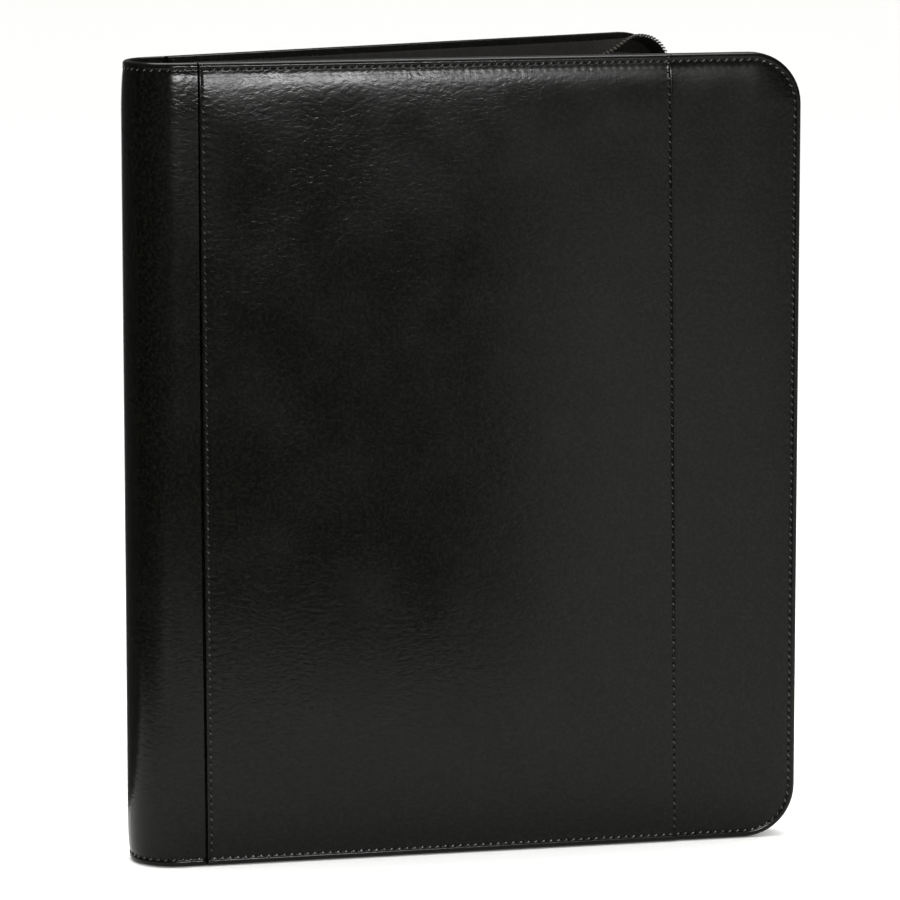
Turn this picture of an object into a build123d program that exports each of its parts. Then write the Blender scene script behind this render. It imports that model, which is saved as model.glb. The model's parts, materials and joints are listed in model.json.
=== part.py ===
from build123d import *
import os
from math import atan2, cos, degrees, radians, sin

# Zippered padfolio: two padded leather covers on a rounded spine, a coil zipper along three
# sides, an organiser in the front cover and a writing pad in the back cover.
# Millimetres, +Z up. It stands on its lower edges, half open like a book: the spine is at -X,
# the front cover towards -Y and the back cover towards +Y. The origin is on the ground, in the
# middle of the footprint.

# Letter-size writing pad, and the room that the case leaves round it
PAD_WIDTH = 215.9
PAD_HEIGHT = 279.4
PAD_START = 31.0
PAD_FORE = 16.1
PAD_LOW = 24.0
PAD_HEAD = 32.6

# The closed case, and how far each cover stands open
THICKNESS = 38.0
SPINE_BULGE = 19.0
CORNER_RADIUS = 22.0
HALF_OPENING = 11.0

# Layers of a cover, from the outside in
LEATHER = 1.2
FOAM = 1.5
BOARD = 2.0
LINING = 0.8
HEM = 8.0
EDGE_ROUND = 2.2
INNER_BEVEL = 0.7
BEND = 6.0

# Panels of the front, measured along the cover. The edge strip is wider at its upper end by its taper.
FIRST_SEAM = 6.5
EDGE_STRIP = 52.0
STRIP_TAPER = 4.7
PANEL_PROUD = 0.5
SEAM_BEVEL = 0.4

# Spine
STIFFENER = 1.4
TURN_IN = 0.8
SPINE_BEVEL = 0.8

# Gaps between pieces that move on each other
RUNNING_GAP = 0.3
LOOSE_GAP = 0.5

# Zipper: tapes, coil rows, stops
TAPE = 0.6
TAPE_START = 3.0
TAPE_INSET = 2.5
TAPE_LOW_INSET = 7.0
FLANGE_EDGE = 2.5
FLANGE_WIDTH = 6.0
ROW_GAP = 1.8
COIL_THICK = 1.6
COIL_RAIL = 1.4
TOOTH_REACH = 1.8
TOOTH_LENGTH = 2.0
TOOTH_WIDTH = 1.1
TOOTH_PITCH = 4.8
ROW_START = 20.0
STOP_LENGTH = 2.5
TAIL_WIDTH = 4.4
TAIL_END = 2.0

# Slider and pull
SLIDER_START = 4.0
SLIDER_LENGTH = 13.0
SLIDER_PLATE = 1.2
FLANGE_WALL = 1.0
MOUTH_FLARE = 1.3
TAIL_ROUND = 1.5
POST_WIDTH = 1.1
POST_LENGTH = 5.0
BRIDGE_LENGTH = 7.0
BRIDGE_WIDTH = 2.4
BRIDGE_HEIGHT = 2.4
PIVOT_RADIUS = 0.6
PIVOT_GAP = 0.1
PULL_THICK = 1.4
PULL_WIDTH = 6.6
PULL_LENGTH = 27.0
PULL_HOLE = 1.6
METAL_BEVEL = 0.25

# Front organiser
POCKET = 1.0
POCKET_GAP = 0.8
POCKET_START = 14.0
POCKET_FORE = 15.0
POCKET_LOW = 12.0
POCKET_HEIGHT = 198.0
POCKET_CORNER = 8.0
EDGING_WIDTH = 5.0
CARD_PANEL = 0.8
CARD_WIDTH = 104.0
CARD_HEIGHT = 62.0
CARD_STEP = 14.0
CARD_LOW = 30.0
CARD_MARGIN = 10.0
CARD_CORNER = 4.0

# Back cover: pen loop, pad sleeve and the pad's layers
LOOP_RADIUS = 5.5
LOOP_WALL = 1.0
LOOP_LENGTH = 25.0
LOOP_ALONG = 18.0
LOOP_BASE = 0.8
BACKING = 0.9
SHEETS = 6.0
BINDING = 0.4
BINDING_FOLD = 22.0
BINDING_ROOT = 12.0
SLEEVE = 0.8
SLEEVE_HEIGHT = 130.0
SLEEVE_EDGING = 4.0
SLEEVE_CORNER = 6.0

# Values that follow from the sizes above
HEIGHT = PAD_LOW + PAD_HEIGHT + PAD_HEAD
COVER_WIDTH = PAD_START + PAD_WIDTH + PAD_FORE
SECOND_SEAM = COVER_WIDTH - EDGE_STRIP
SEAM_HEAD = SECOND_SEAM - STRIP_TAPER
POCKET_WIDTH = COVER_WIDTH - POCKET_START - POCKET_FORE
LOOP_LOW = (HEIGHT - LOOP_LENGTH) / 2
COVER_DEPTH = LEATHER + FOAM + BOARD + LINING
LINING_DEPTH = COVER_DEPTH - LINING
HINGE_DEPTH = LEATHER / 2
HINGE_Y = THICKNESS / 2 - HINGE_DEPTH
TURN = radians(HALF_OPENING)
COIL_TIP = THICKNESS / 2 - ROW_GAP / 2
TOOTH_ROOT = COIL_TIP - TOOTH_REACH
RAIL_ROOT = TOOTH_ROOT - COIL_RAIL
COVER_REACH = COVER_WIDTH * cos(TURN) + (COVER_DEPTH - INNER_BEVEL - HINGE_DEPTH) * sin(TURN)
TOOTH_EDGE = COVER_WIDTH - TAPE_INSET + (COIL_THICK + TOOTH_WIDTH) / 2
ROW_REACH = TOOTH_EDGE * cos(TURN) + (COIL_TIP - HINGE_DEPTH) * sin(TURN)
REACH = max(COVER_REACH, ROW_REACH)
HINGE_X = (SPINE_BULGE - REACH) / 2
HINGE_GAP = LEATHER / 2 + RUNNING_GAP
SPINE_X = HINGE_X - HINGE_GAP
SHELL_START = BEND - LINING
FRONT, BACK = -1, 1


def cover_plane(side, depth):
    """Plane in one cover: x along it from the hinge line, y up, `depth` below its outer face."""
    along = Vector(cos(TURN), side * sin(TURN), 0)
    normal = along.cross(Vector(0, 0, 1))
    hinge = Vector(HINGE_X, side * HINGE_Y, 0)
    return Plane(origin=hinge + normal * side * (depth - HINGE_DEPTH), x_dir=along, z_dir=normal)


def cover_face(side, depth, start, inset, low=None):
    """Outline of a cover from `start`, kept inside its edges, with round fore corners."""
    low = inset if low is None else low
    with BuildSketch(cover_plane(side, depth)) as outline:
        with Locations((start, low)):
            Rectangle(COVER_WIDTH - inset - start, HEIGHT - low - inset, align=(Align.MIN, Align.MIN))
        fore = outline.vertices().group_by(Axis.X)[-1].sort_by(Axis.Y)
        fillet(fore[0], radius=CORNER_RADIUS - low)
        fore = outline.vertices().sort_by(Axis.Y)[-2:].sort_by(Axis.X)
        fillet(fore[-1], radius=CORNER_RADIUS - inset)
    return outline.sketch


def patch(side, depth, start, low, width, height):
    """Rectangle in one cover's plane, by its corner nearest the hinge and the ground."""
    with BuildSketch(cover_plane(side, depth)) as outline:
        with Locations((start, low)):
            Rectangle(width, height, align=(Align.MIN, Align.MIN))
    return outline.sketch


def plate(side, depth, thick, start, low, width, height, corner=0.0):
    """Flat piece lying in one cover, with its upper corners rounded if it is a pocket."""
    with BuildSketch(cover_plane(side, depth)) as outline:
        with Locations((start, low)):
            Rectangle(width, height, align=(Align.MIN, Align.MIN))
        if corner:
            fillet(outline.vertices().group_by(Axis.Y)[-1], radius=corner)
    with BuildPart() as piece:
        extrude(outline.sketch, amount=side * thick)
    return piece.part


def fore_rim(block, plane):
    """Edges of a cover that lie in one plane, all but the one on the hinge line."""
    rim = block.edges().filter_by(lambda e: abs(plane.to_local_coords(e @ 0.5).Z) < 1e-4)
    return rim.filter_by(lambda e: plane.to_local_coords(e @ 0.5).X > 1e-4)


def rounded_cover(side, proud):
    """Full block of a cover with its rounded perimeter, before it is hollowed."""
    with BuildPart() as block:
        extrude(cover_face(side, -proud, 0, 0), amount=side * (COVER_DEPTH + proud))
        fillet(fore_rim(block, cover_plane(side, -proud)), radius=EDGE_ROUND)
        chamfer(fore_rim(block, cover_plane(side, COVER_DEPTH)), length=INNER_BEVEL)
    return block.part


def between_seams(side, depth, start, end):
    """Outline of a panel between two seams, each given by its place at the lower and the upper edge."""
    with BuildSketch(cover_plane(side, depth)) as outline:
        with BuildLine():
            Polyline((start[0], 0), (end[0], 0), (end[1], HEIGHT), (start[1], HEIGHT), close=True)
        make_face()
    return outline.sketch


def leather_panel(side, start, end, proud=0.0, hinged=False):
    """Outer leather between two seams: a face, a turned edge and a hem on the inside."""
    with BuildPart() as panel:
        add(rounded_cover(side, proud))
        extrude(cover_face(side, LEATHER, 0, LEATHER), amount=side * (FOAM + BOARD), mode=Mode.SUBTRACT)
        extrude(cover_face(side, LINING_DEPTH, 0, HEM), amount=side * LINING, mode=Mode.SUBTRACT)
        extrude(patch(side, LEATHER, 0, 0, SHELL_START, HEIGHT),
                amount=side * (COVER_DEPTH - LEATHER), mode=Mode.SUBTRACT)
        extrude(between_seams(side, -proud, start, end),
                amount=side * (COVER_DEPTH + proud), mode=Mode.INTERSECT)
        if proud:
            face = cover_plane(side, -proud)
            seams = panel.edges().filter_by(lambda e: abs(face.to_local_coords(e @ 0.5).Z) < 1e-4)
            chamfer(seams.filter_by(lambda e: abs((e % 0.5).Z) > 0.9), length=SEAM_BEVEL)
        if hinged:
            with BuildSketch(Plane.XY.offset(EDGE_ROUND)):
                with Locations((HINGE_X, side * HINGE_Y)):
                    Circle(LEATHER / 2)
            extrude(amount=HEIGHT - 2 * EDGE_ROUND)
    return panel.part


def cover_foam(side):
    """Padding under the leather."""
    with BuildPart() as foam:
        extrude(cover_face(side, LEATHER, BEND, LEATHER), amount=side * FOAM)
    return foam.part


def cover_board(side):
    """Stiff board that keeps the cover flat."""
    with BuildPart() as board:
        extrude(cover_face(side, LEATHER + FOAM, BEND, LEATHER), amount=side * BOARD)
    return board.part


def cover_lining(side):
    """Inside cloth, inside the hem, folded down over the board's edge at the hinge."""
    with BuildPart() as lining:
        extrude(cover_face(side, LINING_DEPTH, SHELL_START, HEM), amount=side * LINING)
        extrude(patch(side, LEATHER, SHELL_START, HEM, LINING, HEIGHT - 2 * HEM),
                amount=side * (FOAM + BOARD))
    return lining.part


def zip_tape(side):
    """One half of the zipper tape: a flange sewn to the hem and a wall that crosses the gap."""
    flange_end = FLANGE_EDGE + FLANGE_WIDTH
    with BuildPart() as tape:
        extrude(cover_face(side, COVER_DEPTH, TAPE_START, TAPE_INSET, TAPE_LOW_INSET),
                amount=side * (TOOTH_ROOT - COVER_DEPTH))
        extrude(cover_face(side, COVER_DEPTH, TAPE_START, TAPE_INSET + TAPE, TAPE_LOW_INSET + TAPE),
                amount=side * (TOOTH_ROOT - COVER_DEPTH), mode=Mode.SUBTRACT)
        extrude(cover_face(side, COVER_DEPTH, SHELL_START, FLANGE_EDGE)
                - cover_face(side, COVER_DEPTH, SHELL_START, flange_end), amount=side * TAPE)
    return tape.part


def tooth_stations(phase):
    """Places along the coil row, in a cover's plane: from the lower end round to the upper end."""
    half = COIL_THICK / 2
    low = TAPE_LOW_INSET - half
    edge = TAPE_INSET - half
    fore = COVER_WIDTH - edge
    low_bend = CORNER_RADIUS - low
    high_bend = CORNER_RADIUS - edge
    with BuildLine() as row:
        Line((ROW_START, low), (fore - low_bend, low))
        JernArc((fore - low_bend, low), (1, 0), low_bend, 90)
        Line((fore, low + low_bend), (fore, HEIGHT - edge - high_bend))
        JernArc((fore, HEIGHT - edge - high_bend), (0, 1), high_bend, 90)
        Line((fore - high_bend, HEIGHT - edge), (ROW_START, HEIGHT - edge))
    run = row.wires()[0]
    count = int((run.length - STOP_LENGTH) / TOOTH_PITCH)
    stations = []
    for index in range(count):
        along = (index + phase) * TOOTH_PITCH
        spot = run.position_at(along, position_mode=PositionMode.LENGTH)
        aim = run.tangent_at(along, position_mode=PositionMode.LENGTH)
        stations.append(Location((spot.X, spot.Y, 0), (0, 0, degrees(atan2(aim.Y, aim.X)))))
    return stations


def zip_coil(side, phase):
    """One row of the zipper: a rail along the tape's edge with a tooth at every pitch."""
    inset = TAPE_INSET - COIL_THICK
    low = TAPE_LOW_INSET - COIL_THICK
    with BuildPart() as coil:
        extrude(cover_face(side, RAIL_ROOT, ROW_START, inset, low)
                - cover_face(side, RAIL_ROOT, ROW_START, TAPE_INSET, TAPE_LOW_INSET),
                amount=side * COIL_RAIL)
        with BuildSketch(cover_plane(side, TOOTH_ROOT)):
            with Locations(*tooth_stations(phase)):
                Rectangle(TOOTH_LENGTH, TOOTH_WIDTH)
        extrude(amount=side * TOOTH_REACH)
    return coil.part


def top_stop(side):
    """Metal clip at the upper end of a row, which the slider can't pass."""
    top = HEIGHT - TAPE_INSET
    return plate(side, RAIL_ROOT, COIL_RAIL, ROW_START - STOP_LENGTH, top, STOP_LENGTH, COIL_THICK)


def spine_shell(outer, inner, low, high):
    """Half-round layer of the spine between two depths below its outer face."""
    across = SPINE_BULGE - HINGE_GAP
    with BuildPart() as shell:
        with BuildSketch(Plane.XY.offset(low)):
            with Locations((SPINE_X, 0)):
                Ellipse(across - outer, THICKNESS / 2 - outer)
                Ellipse(across - inner, THICKNESS / 2 - inner, mode=Mode.SUBTRACT)
                Rectangle(SPINE_BULGE, THICKNESS, align=(Align.MAX, Align.CENTER), mode=Mode.INTERSECT)
        extrude(amount=high - low)
    return shell.part


def spine_leather():
    """Leather round the outside of the spine, turned in at both ends."""
    with BuildPart() as leather:
        add(spine_shell(0, LEATHER, 0, HEIGHT))
        add(spine_shell(LEATHER, LEATHER + TURN_IN, 0, HEM))
        add(spine_shell(LEATHER, LEATHER + TURN_IN, HEIGHT - HEM, HEIGHT))
        ends = leather.edges().filter_by(GeomType.ELLIPSE)
        outer = ends.filter_by(lambda e: (e @ 0.5).X < SPINE_X - SPINE_BULGE + HINGE_GAP + 1e-3)
        chamfer(outer, length=SPINE_BEVEL)
    return leather.part


def zip_tail(low):
    """Joined end of the two tapes, sewn to the turned-in edge of the spine leather."""
    inner = LEATHER + TURN_IN
    across = SPINE_BULGE - HINGE_GAP - inner
    with BuildPart() as tail:
        with BuildSketch(Plane.XY.offset(low)):
            with Locations((SPINE_X, 0)):
                Ellipse(across, THICKNESS / 2 - inner)
            with Locations((HINGE_X + TAIL_END, 0)):
                Rectangle(2 * SPINE_BULGE, TAIL_WIDTH, align=(Align.MAX, Align.CENTER), mode=Mode.INTERSECT)
        extrude(amount=TAPE)
    return tail.part


def bottom_stop():
    """Metal clip round the end of the lower tail, where the slider parks."""
    with BuildPart() as stop:
        with Locations((HINGE_X + TAIL_END, 0, TAPE_LOW_INSET + TAPE / 2)):
            Box(STOP_LENGTH, TAIL_WIDTH + 2 * TAPE, 3 * TAPE, align=(Align.MAX, Align.CENTER, Align.CENTER))
            Box(STOP_LENGTH, TAIL_WIDTH, TAPE, align=(Align.MAX, Align.CENTER, Align.CENTER),
                mode=Mode.SUBTRACT)
    return stop.part


SLIDER_FLOOR = TAPE_LOW_INSET - COIL_THICK - RUNNING_GAP
SLIDER_ROOF = TAPE_LOW_INSET + TAPE + RUNNING_GAP
CHANNEL_HALF = THICKNESS / 2 - RAIL_ROOT + LOOSE_GAP
BRIDGE_X = HINGE_X + SLIDER_START + SLIDER_LENGTH / 2
PIVOT_Z = SLIDER_FLOOR - SLIDER_PLATE - BRIDGE_HEIGHT / 2


def slider_outline(level, half, past=0.0):
    """Plan of the slider, run on by `past` at both ends: straight from the tail, flared at the mouth."""
    tail = HINGE_X + SLIDER_START
    middle = tail + SLIDER_LENGTH / 2
    mouth = tail + SLIDER_LENGTH + past
    wide = half + MOUTH_FLARE * (mouth - middle) / (SLIDER_LENGTH / 2)
    with BuildSketch(Plane.XY.offset(level)) as outline:
        with BuildLine():
            Polyline((tail - past, -half), (middle, -half), (mouth, -wide),
                     (mouth, wide), (middle, half), (tail - past, half), close=True)
        make_face()
        if not past:
            fillet(outline.vertices().group_by(Axis.X)[0], radius=TAIL_ROUND)
    return outline.sketch


def slider_body():
    """Two plates joined by the dividing post, side flanges and a bridge for the pull."""
    half = CHANNEL_HALF + FLANGE_WALL
    post_x = HINGE_X + SLIDER_START + SLIDER_LENGTH - POST_LENGTH / 2 - FLANGE_WALL
    with BuildPart() as slider:
        extrude(slider_outline(SLIDER_FLOOR - SLIDER_PLATE, half),
                amount=SLIDER_PLATE + COIL_THICK)
        chamfer(slider.edges().group_by(Axis.Z)[0], length=METAL_BEVEL)
        extrude(slider_outline(SLIDER_FLOOR, CHANNEL_HALF, past=1.0), amount=COIL_THICK,
                mode=Mode.SUBTRACT)
        extrude(slider_outline(SLIDER_ROOF, half), amount=SLIDER_PLATE)
        chamfer(slider.edges().group_by(Axis.Z)[-1], length=METAL_BEVEL)
        with BuildSketch(Plane.XY.offset(SLIDER_FLOOR)):
            with Locations((post_x, 0)):
                RectangleRounded(POST_LENGTH, POST_WIDTH, POST_WIDTH * 0.45)
        extrude(amount=SLIDER_ROOF - SLIDER_FLOOR)
        with Locations((BRIDGE_X, 0, PIVOT_Z)):
            Box(BRIDGE_LENGTH, BRIDGE_WIDTH, BRIDGE_HEIGHT)
        fillet(slider.edges().filter_by(Axis.Y).group_by(Axis.Z)[0], radius=BRIDGE_HEIGHT * 0.4)
        with Locations(Location((BRIDGE_X, 0, PIVOT_Z), (90, 0, 0))):
            Cylinder(PIVOT_RADIUS + PIVOT_GAP, BRIDGE_WIDTH + 1, mode=Mode.SUBTRACT)
    return slider.part


def pull_tab():
    """Flat pull: a bar through the bridge, two arms beside it and a round-ended tab."""
    arm = BRIDGE_WIDTH / 2 + LOOSE_GAP
    window = BRIDGE_LENGTH / 2 + LOOSE_GAP
    with BuildPart() as pull:
        with BuildSketch(Plane.XY.offset(PIVOT_Z - PULL_THICK / 2)):
            with Locations((BRIDGE_X, 0)):
                Rectangle(PULL_LENGTH, PULL_WIDTH, align=(Align.MIN, Align.CENTER))
                Rectangle(window, 2 * arm, align=(Align.MIN, Align.CENTER), mode=Mode.SUBTRACT)
            with Locations((BRIDGE_X + PULL_LENGTH, 0)):
                Circle(PULL_WIDTH / 2)
                Circle(PULL_HOLE, mode=Mode.SUBTRACT)
        extrude(amount=PULL_THICK)
        chamfer(pull.faces().filter_by(Axis.Z).edges(), length=METAL_BEVEL)
        with Locations(Location((BRIDGE_X, 0, PIVOT_Z), (90, 0, 0))):
            Cylinder(PIVOT_RADIUS, 2 * arm + 1)
            for end in (-1, 1):
                with Locations((0, 0, end * (PULL_WIDTH / 2 + arm) / 2)):
                    Cylinder(PULL_THICK / 2, PULL_WIDTH / 2 - arm)
    return pull.part


def edging(side, depth, thick, start, low, width, height, corner, strip):
    """Strip along the lower edge and the two sides of a pocket, which holds it off the lining."""
    with BuildPart() as frame:
        extrude(patch(side, depth, start, low, width, height - corner), amount=side * thick)
        extrude(patch(side, depth, start + strip, low + strip, width - 2 * strip, height),
                amount=side * thick, mode=Mode.SUBTRACT)
    return frame.part


def pen_loop():
    """Elastic loop on a flat base, upright beside the pad."""
    middle = COVER_DEPTH + LOOP_BASE + LOOP_RADIUS + LOOP_WALL / 2
    outer = LOOP_RADIUS + LOOP_WALL
    up = cover_plane(BACK, middle)
    spot = up.from_local_coords((LOOP_ALONG, LOOP_LOW, 0))
    with BuildPart() as loop:
        extrude(patch(BACK, COVER_DEPTH, LOOP_ALONG - outer, LOOP_LOW, 2 * outer, LOOP_LENGTH),
                amount=LOOP_BASE)
        with BuildSketch(Plane(origin=spot, x_dir=up.x_dir, z_dir=(0, 0, 1))):
            Circle(outer)
            Circle(LOOP_RADIUS, mode=Mode.SUBTRACT)
        extrude(amount=LOOP_LENGTH)
    return loop.part


SLEEVE_DEPTH = COVER_DEPTH + BACKING + RUNNING_GAP
SHEETS_DEPTH = SLEEVE_DEPTH + SLEEVE + RUNNING_GAP
PAD_TOP = PAD_LOW + PAD_HEIGHT


def pad_binding():
    """Tape over the head of the pad, with the glued root between backing and sheets."""
    face = SHEETS_DEPTH + SHEETS
    with BuildPart() as binding:
        extrude(patch(BACK, COVER_DEPTH + BACKING, PAD_START, PAD_TOP - BINDING_ROOT, PAD_WIDTH,
                      BINDING_ROOT), amount=SHEETS_DEPTH - COVER_DEPTH - BACKING)
        extrude(patch(BACK, COVER_DEPTH, PAD_START, PAD_TOP, PAD_WIDTH, BINDING),
                amount=face + BINDING - COVER_DEPTH)
        extrude(patch(BACK, face, PAD_START, PAD_TOP - BINDING_FOLD, PAD_WIDTH, BINDING_FOLD),
                amount=BINDING)
    return binding.part


CARD_START = POCKET_START + POCKET_WIDTH - CARD_WIDTH - CARD_MARGIN
CARD_DEPTH = COVER_DEPTH + POCKET_GAP + POCKET
SLEEVE_START = PAD_START - LOOSE_GAP - SLEEVE_EDGING
SLEEVE_LOW = PAD_LOW - LOOSE_GAP - SLEEVE_EDGING
SLEEVE_WIDTH = PAD_WIDTH + 2 * (LOOSE_GAP + SLEEVE_EDGING)
POCKET_AREA = (POCKET_START, POCKET_LOW, POCKET_WIDTH, POCKET_HEIGHT)
SLEEVE_AREA = (SLEEVE_START, SLEEVE_LOW, SLEEVE_WIDTH, SLEEVE_HEIGHT)
PAD_AREA = (PAD_START, PAD_LOW, PAD_WIDTH, PAD_HEIGHT)
HINGE_LINE = (0, 0)
FIRST_LINE = (FIRST_SEAM, FIRST_SEAM)
SECOND_LINE = (SECOND_SEAM, SEAM_HEAD)
FORE_LINE = (COVER_WIDTH, COVER_WIDTH)

pieces = {
    "spine_leather": spine_leather(),
    "spine_stiffener": spine_shell(LEATHER, LEATHER + STIFFENER, HEM, HEIGHT - HEM),
    "spine_lining": spine_shell(LEATHER + STIFFENER, LEATHER + STIFFENER + LINING, HEM, HEIGHT - HEM),
    "upper_zip_tail": zip_tail(HEIGHT - TAPE_INSET - TAPE),
    "lower_zip_tail": zip_tail(TAPE_LOW_INSET),
    "bottom_stop": bottom_stop(),
    "front_hinge_panel": leather_panel(FRONT, HINGE_LINE, FIRST_LINE, hinged=True),
    "front_centre_panel": leather_panel(FRONT, FIRST_LINE, SECOND_LINE, proud=PANEL_PROUD),
    "front_edge_panel": leather_panel(FRONT, SECOND_LINE, FORE_LINE),
    "back_hinge_panel": leather_panel(BACK, HINGE_LINE, FIRST_LINE, hinged=True),
    "back_panel": leather_panel(BACK, FIRST_LINE, FORE_LINE),
    "document_pocket": plate(FRONT, COVER_DEPTH + POCKET_GAP, POCKET, *POCKET_AREA, POCKET_CORNER),
    "document_pocket_edging": edging(FRONT, COVER_DEPTH, POCKET_GAP, *POCKET_AREA, POCKET_CORNER,
                                     EDGING_WIDTH),
    "pen_loop": pen_loop(),
    "pad_sleeve": plate(BACK, SLEEVE_DEPTH, SLEEVE, *SLEEVE_AREA, SLEEVE_CORNER),
    "pad_sleeve_edging": edging(BACK, COVER_DEPTH, BACKING + RUNNING_GAP, *SLEEVE_AREA, SLEEVE_CORNER,
                                SLEEVE_EDGING),
    "pad_backing": plate(BACK, COVER_DEPTH, BACKING, *PAD_AREA),
    "pad_sheets": plate(BACK, SHEETS_DEPTH, SHEETS, *PAD_AREA),
    "pad_binding": pad_binding(),
    "zip_slider": slider_body(),
    "zip_pull": pull_tab(),
}
for name, side, phase in (("front", FRONT, 0.5), ("back", BACK, 1.0)):
    pieces[name + "_foam"] = cover_foam(side)
    pieces[name + "_board"] = cover_board(side)
    pieces[name + "_lining"] = cover_lining(side)
    pieces[name + "_zip_tape"] = zip_tape(side)
    pieces[name + "_zip_coil"] = zip_coil(side, phase)
    pieces[name + "_top_stop"] = top_stop(side)
for order, name in enumerate(("inner", "middle", "outer")):
    pieces[name + "_card_pocket"] = plate(
        FRONT, CARD_DEPTH + order * CARD_PANEL, CARD_PANEL,
        CARD_START, CARD_LOW, CARD_WIDTH, CARD_HEIGHT - order * CARD_STEP, CARD_CORNER)

os.makedirs("parts", exist_ok=True)
for name, piece in pieces.items():
    piece.label = name
    export_step(piece, f"parts/{name}.step")
    print(name, round(piece.volume, 1), "mm3", len(piece.solids()), "solid")
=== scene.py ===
# %% [markdown]
# # A zippered padfolio in black glazed leather
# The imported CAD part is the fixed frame: it says where every piece is and how the covers, the zipper
# slider, its pull and the writing pad move. This lesson dresses it: the leather is sewn together again
# from its panels, the zipper gets its woven tape and fine coil, and the inside gets cloth and paper.

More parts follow.
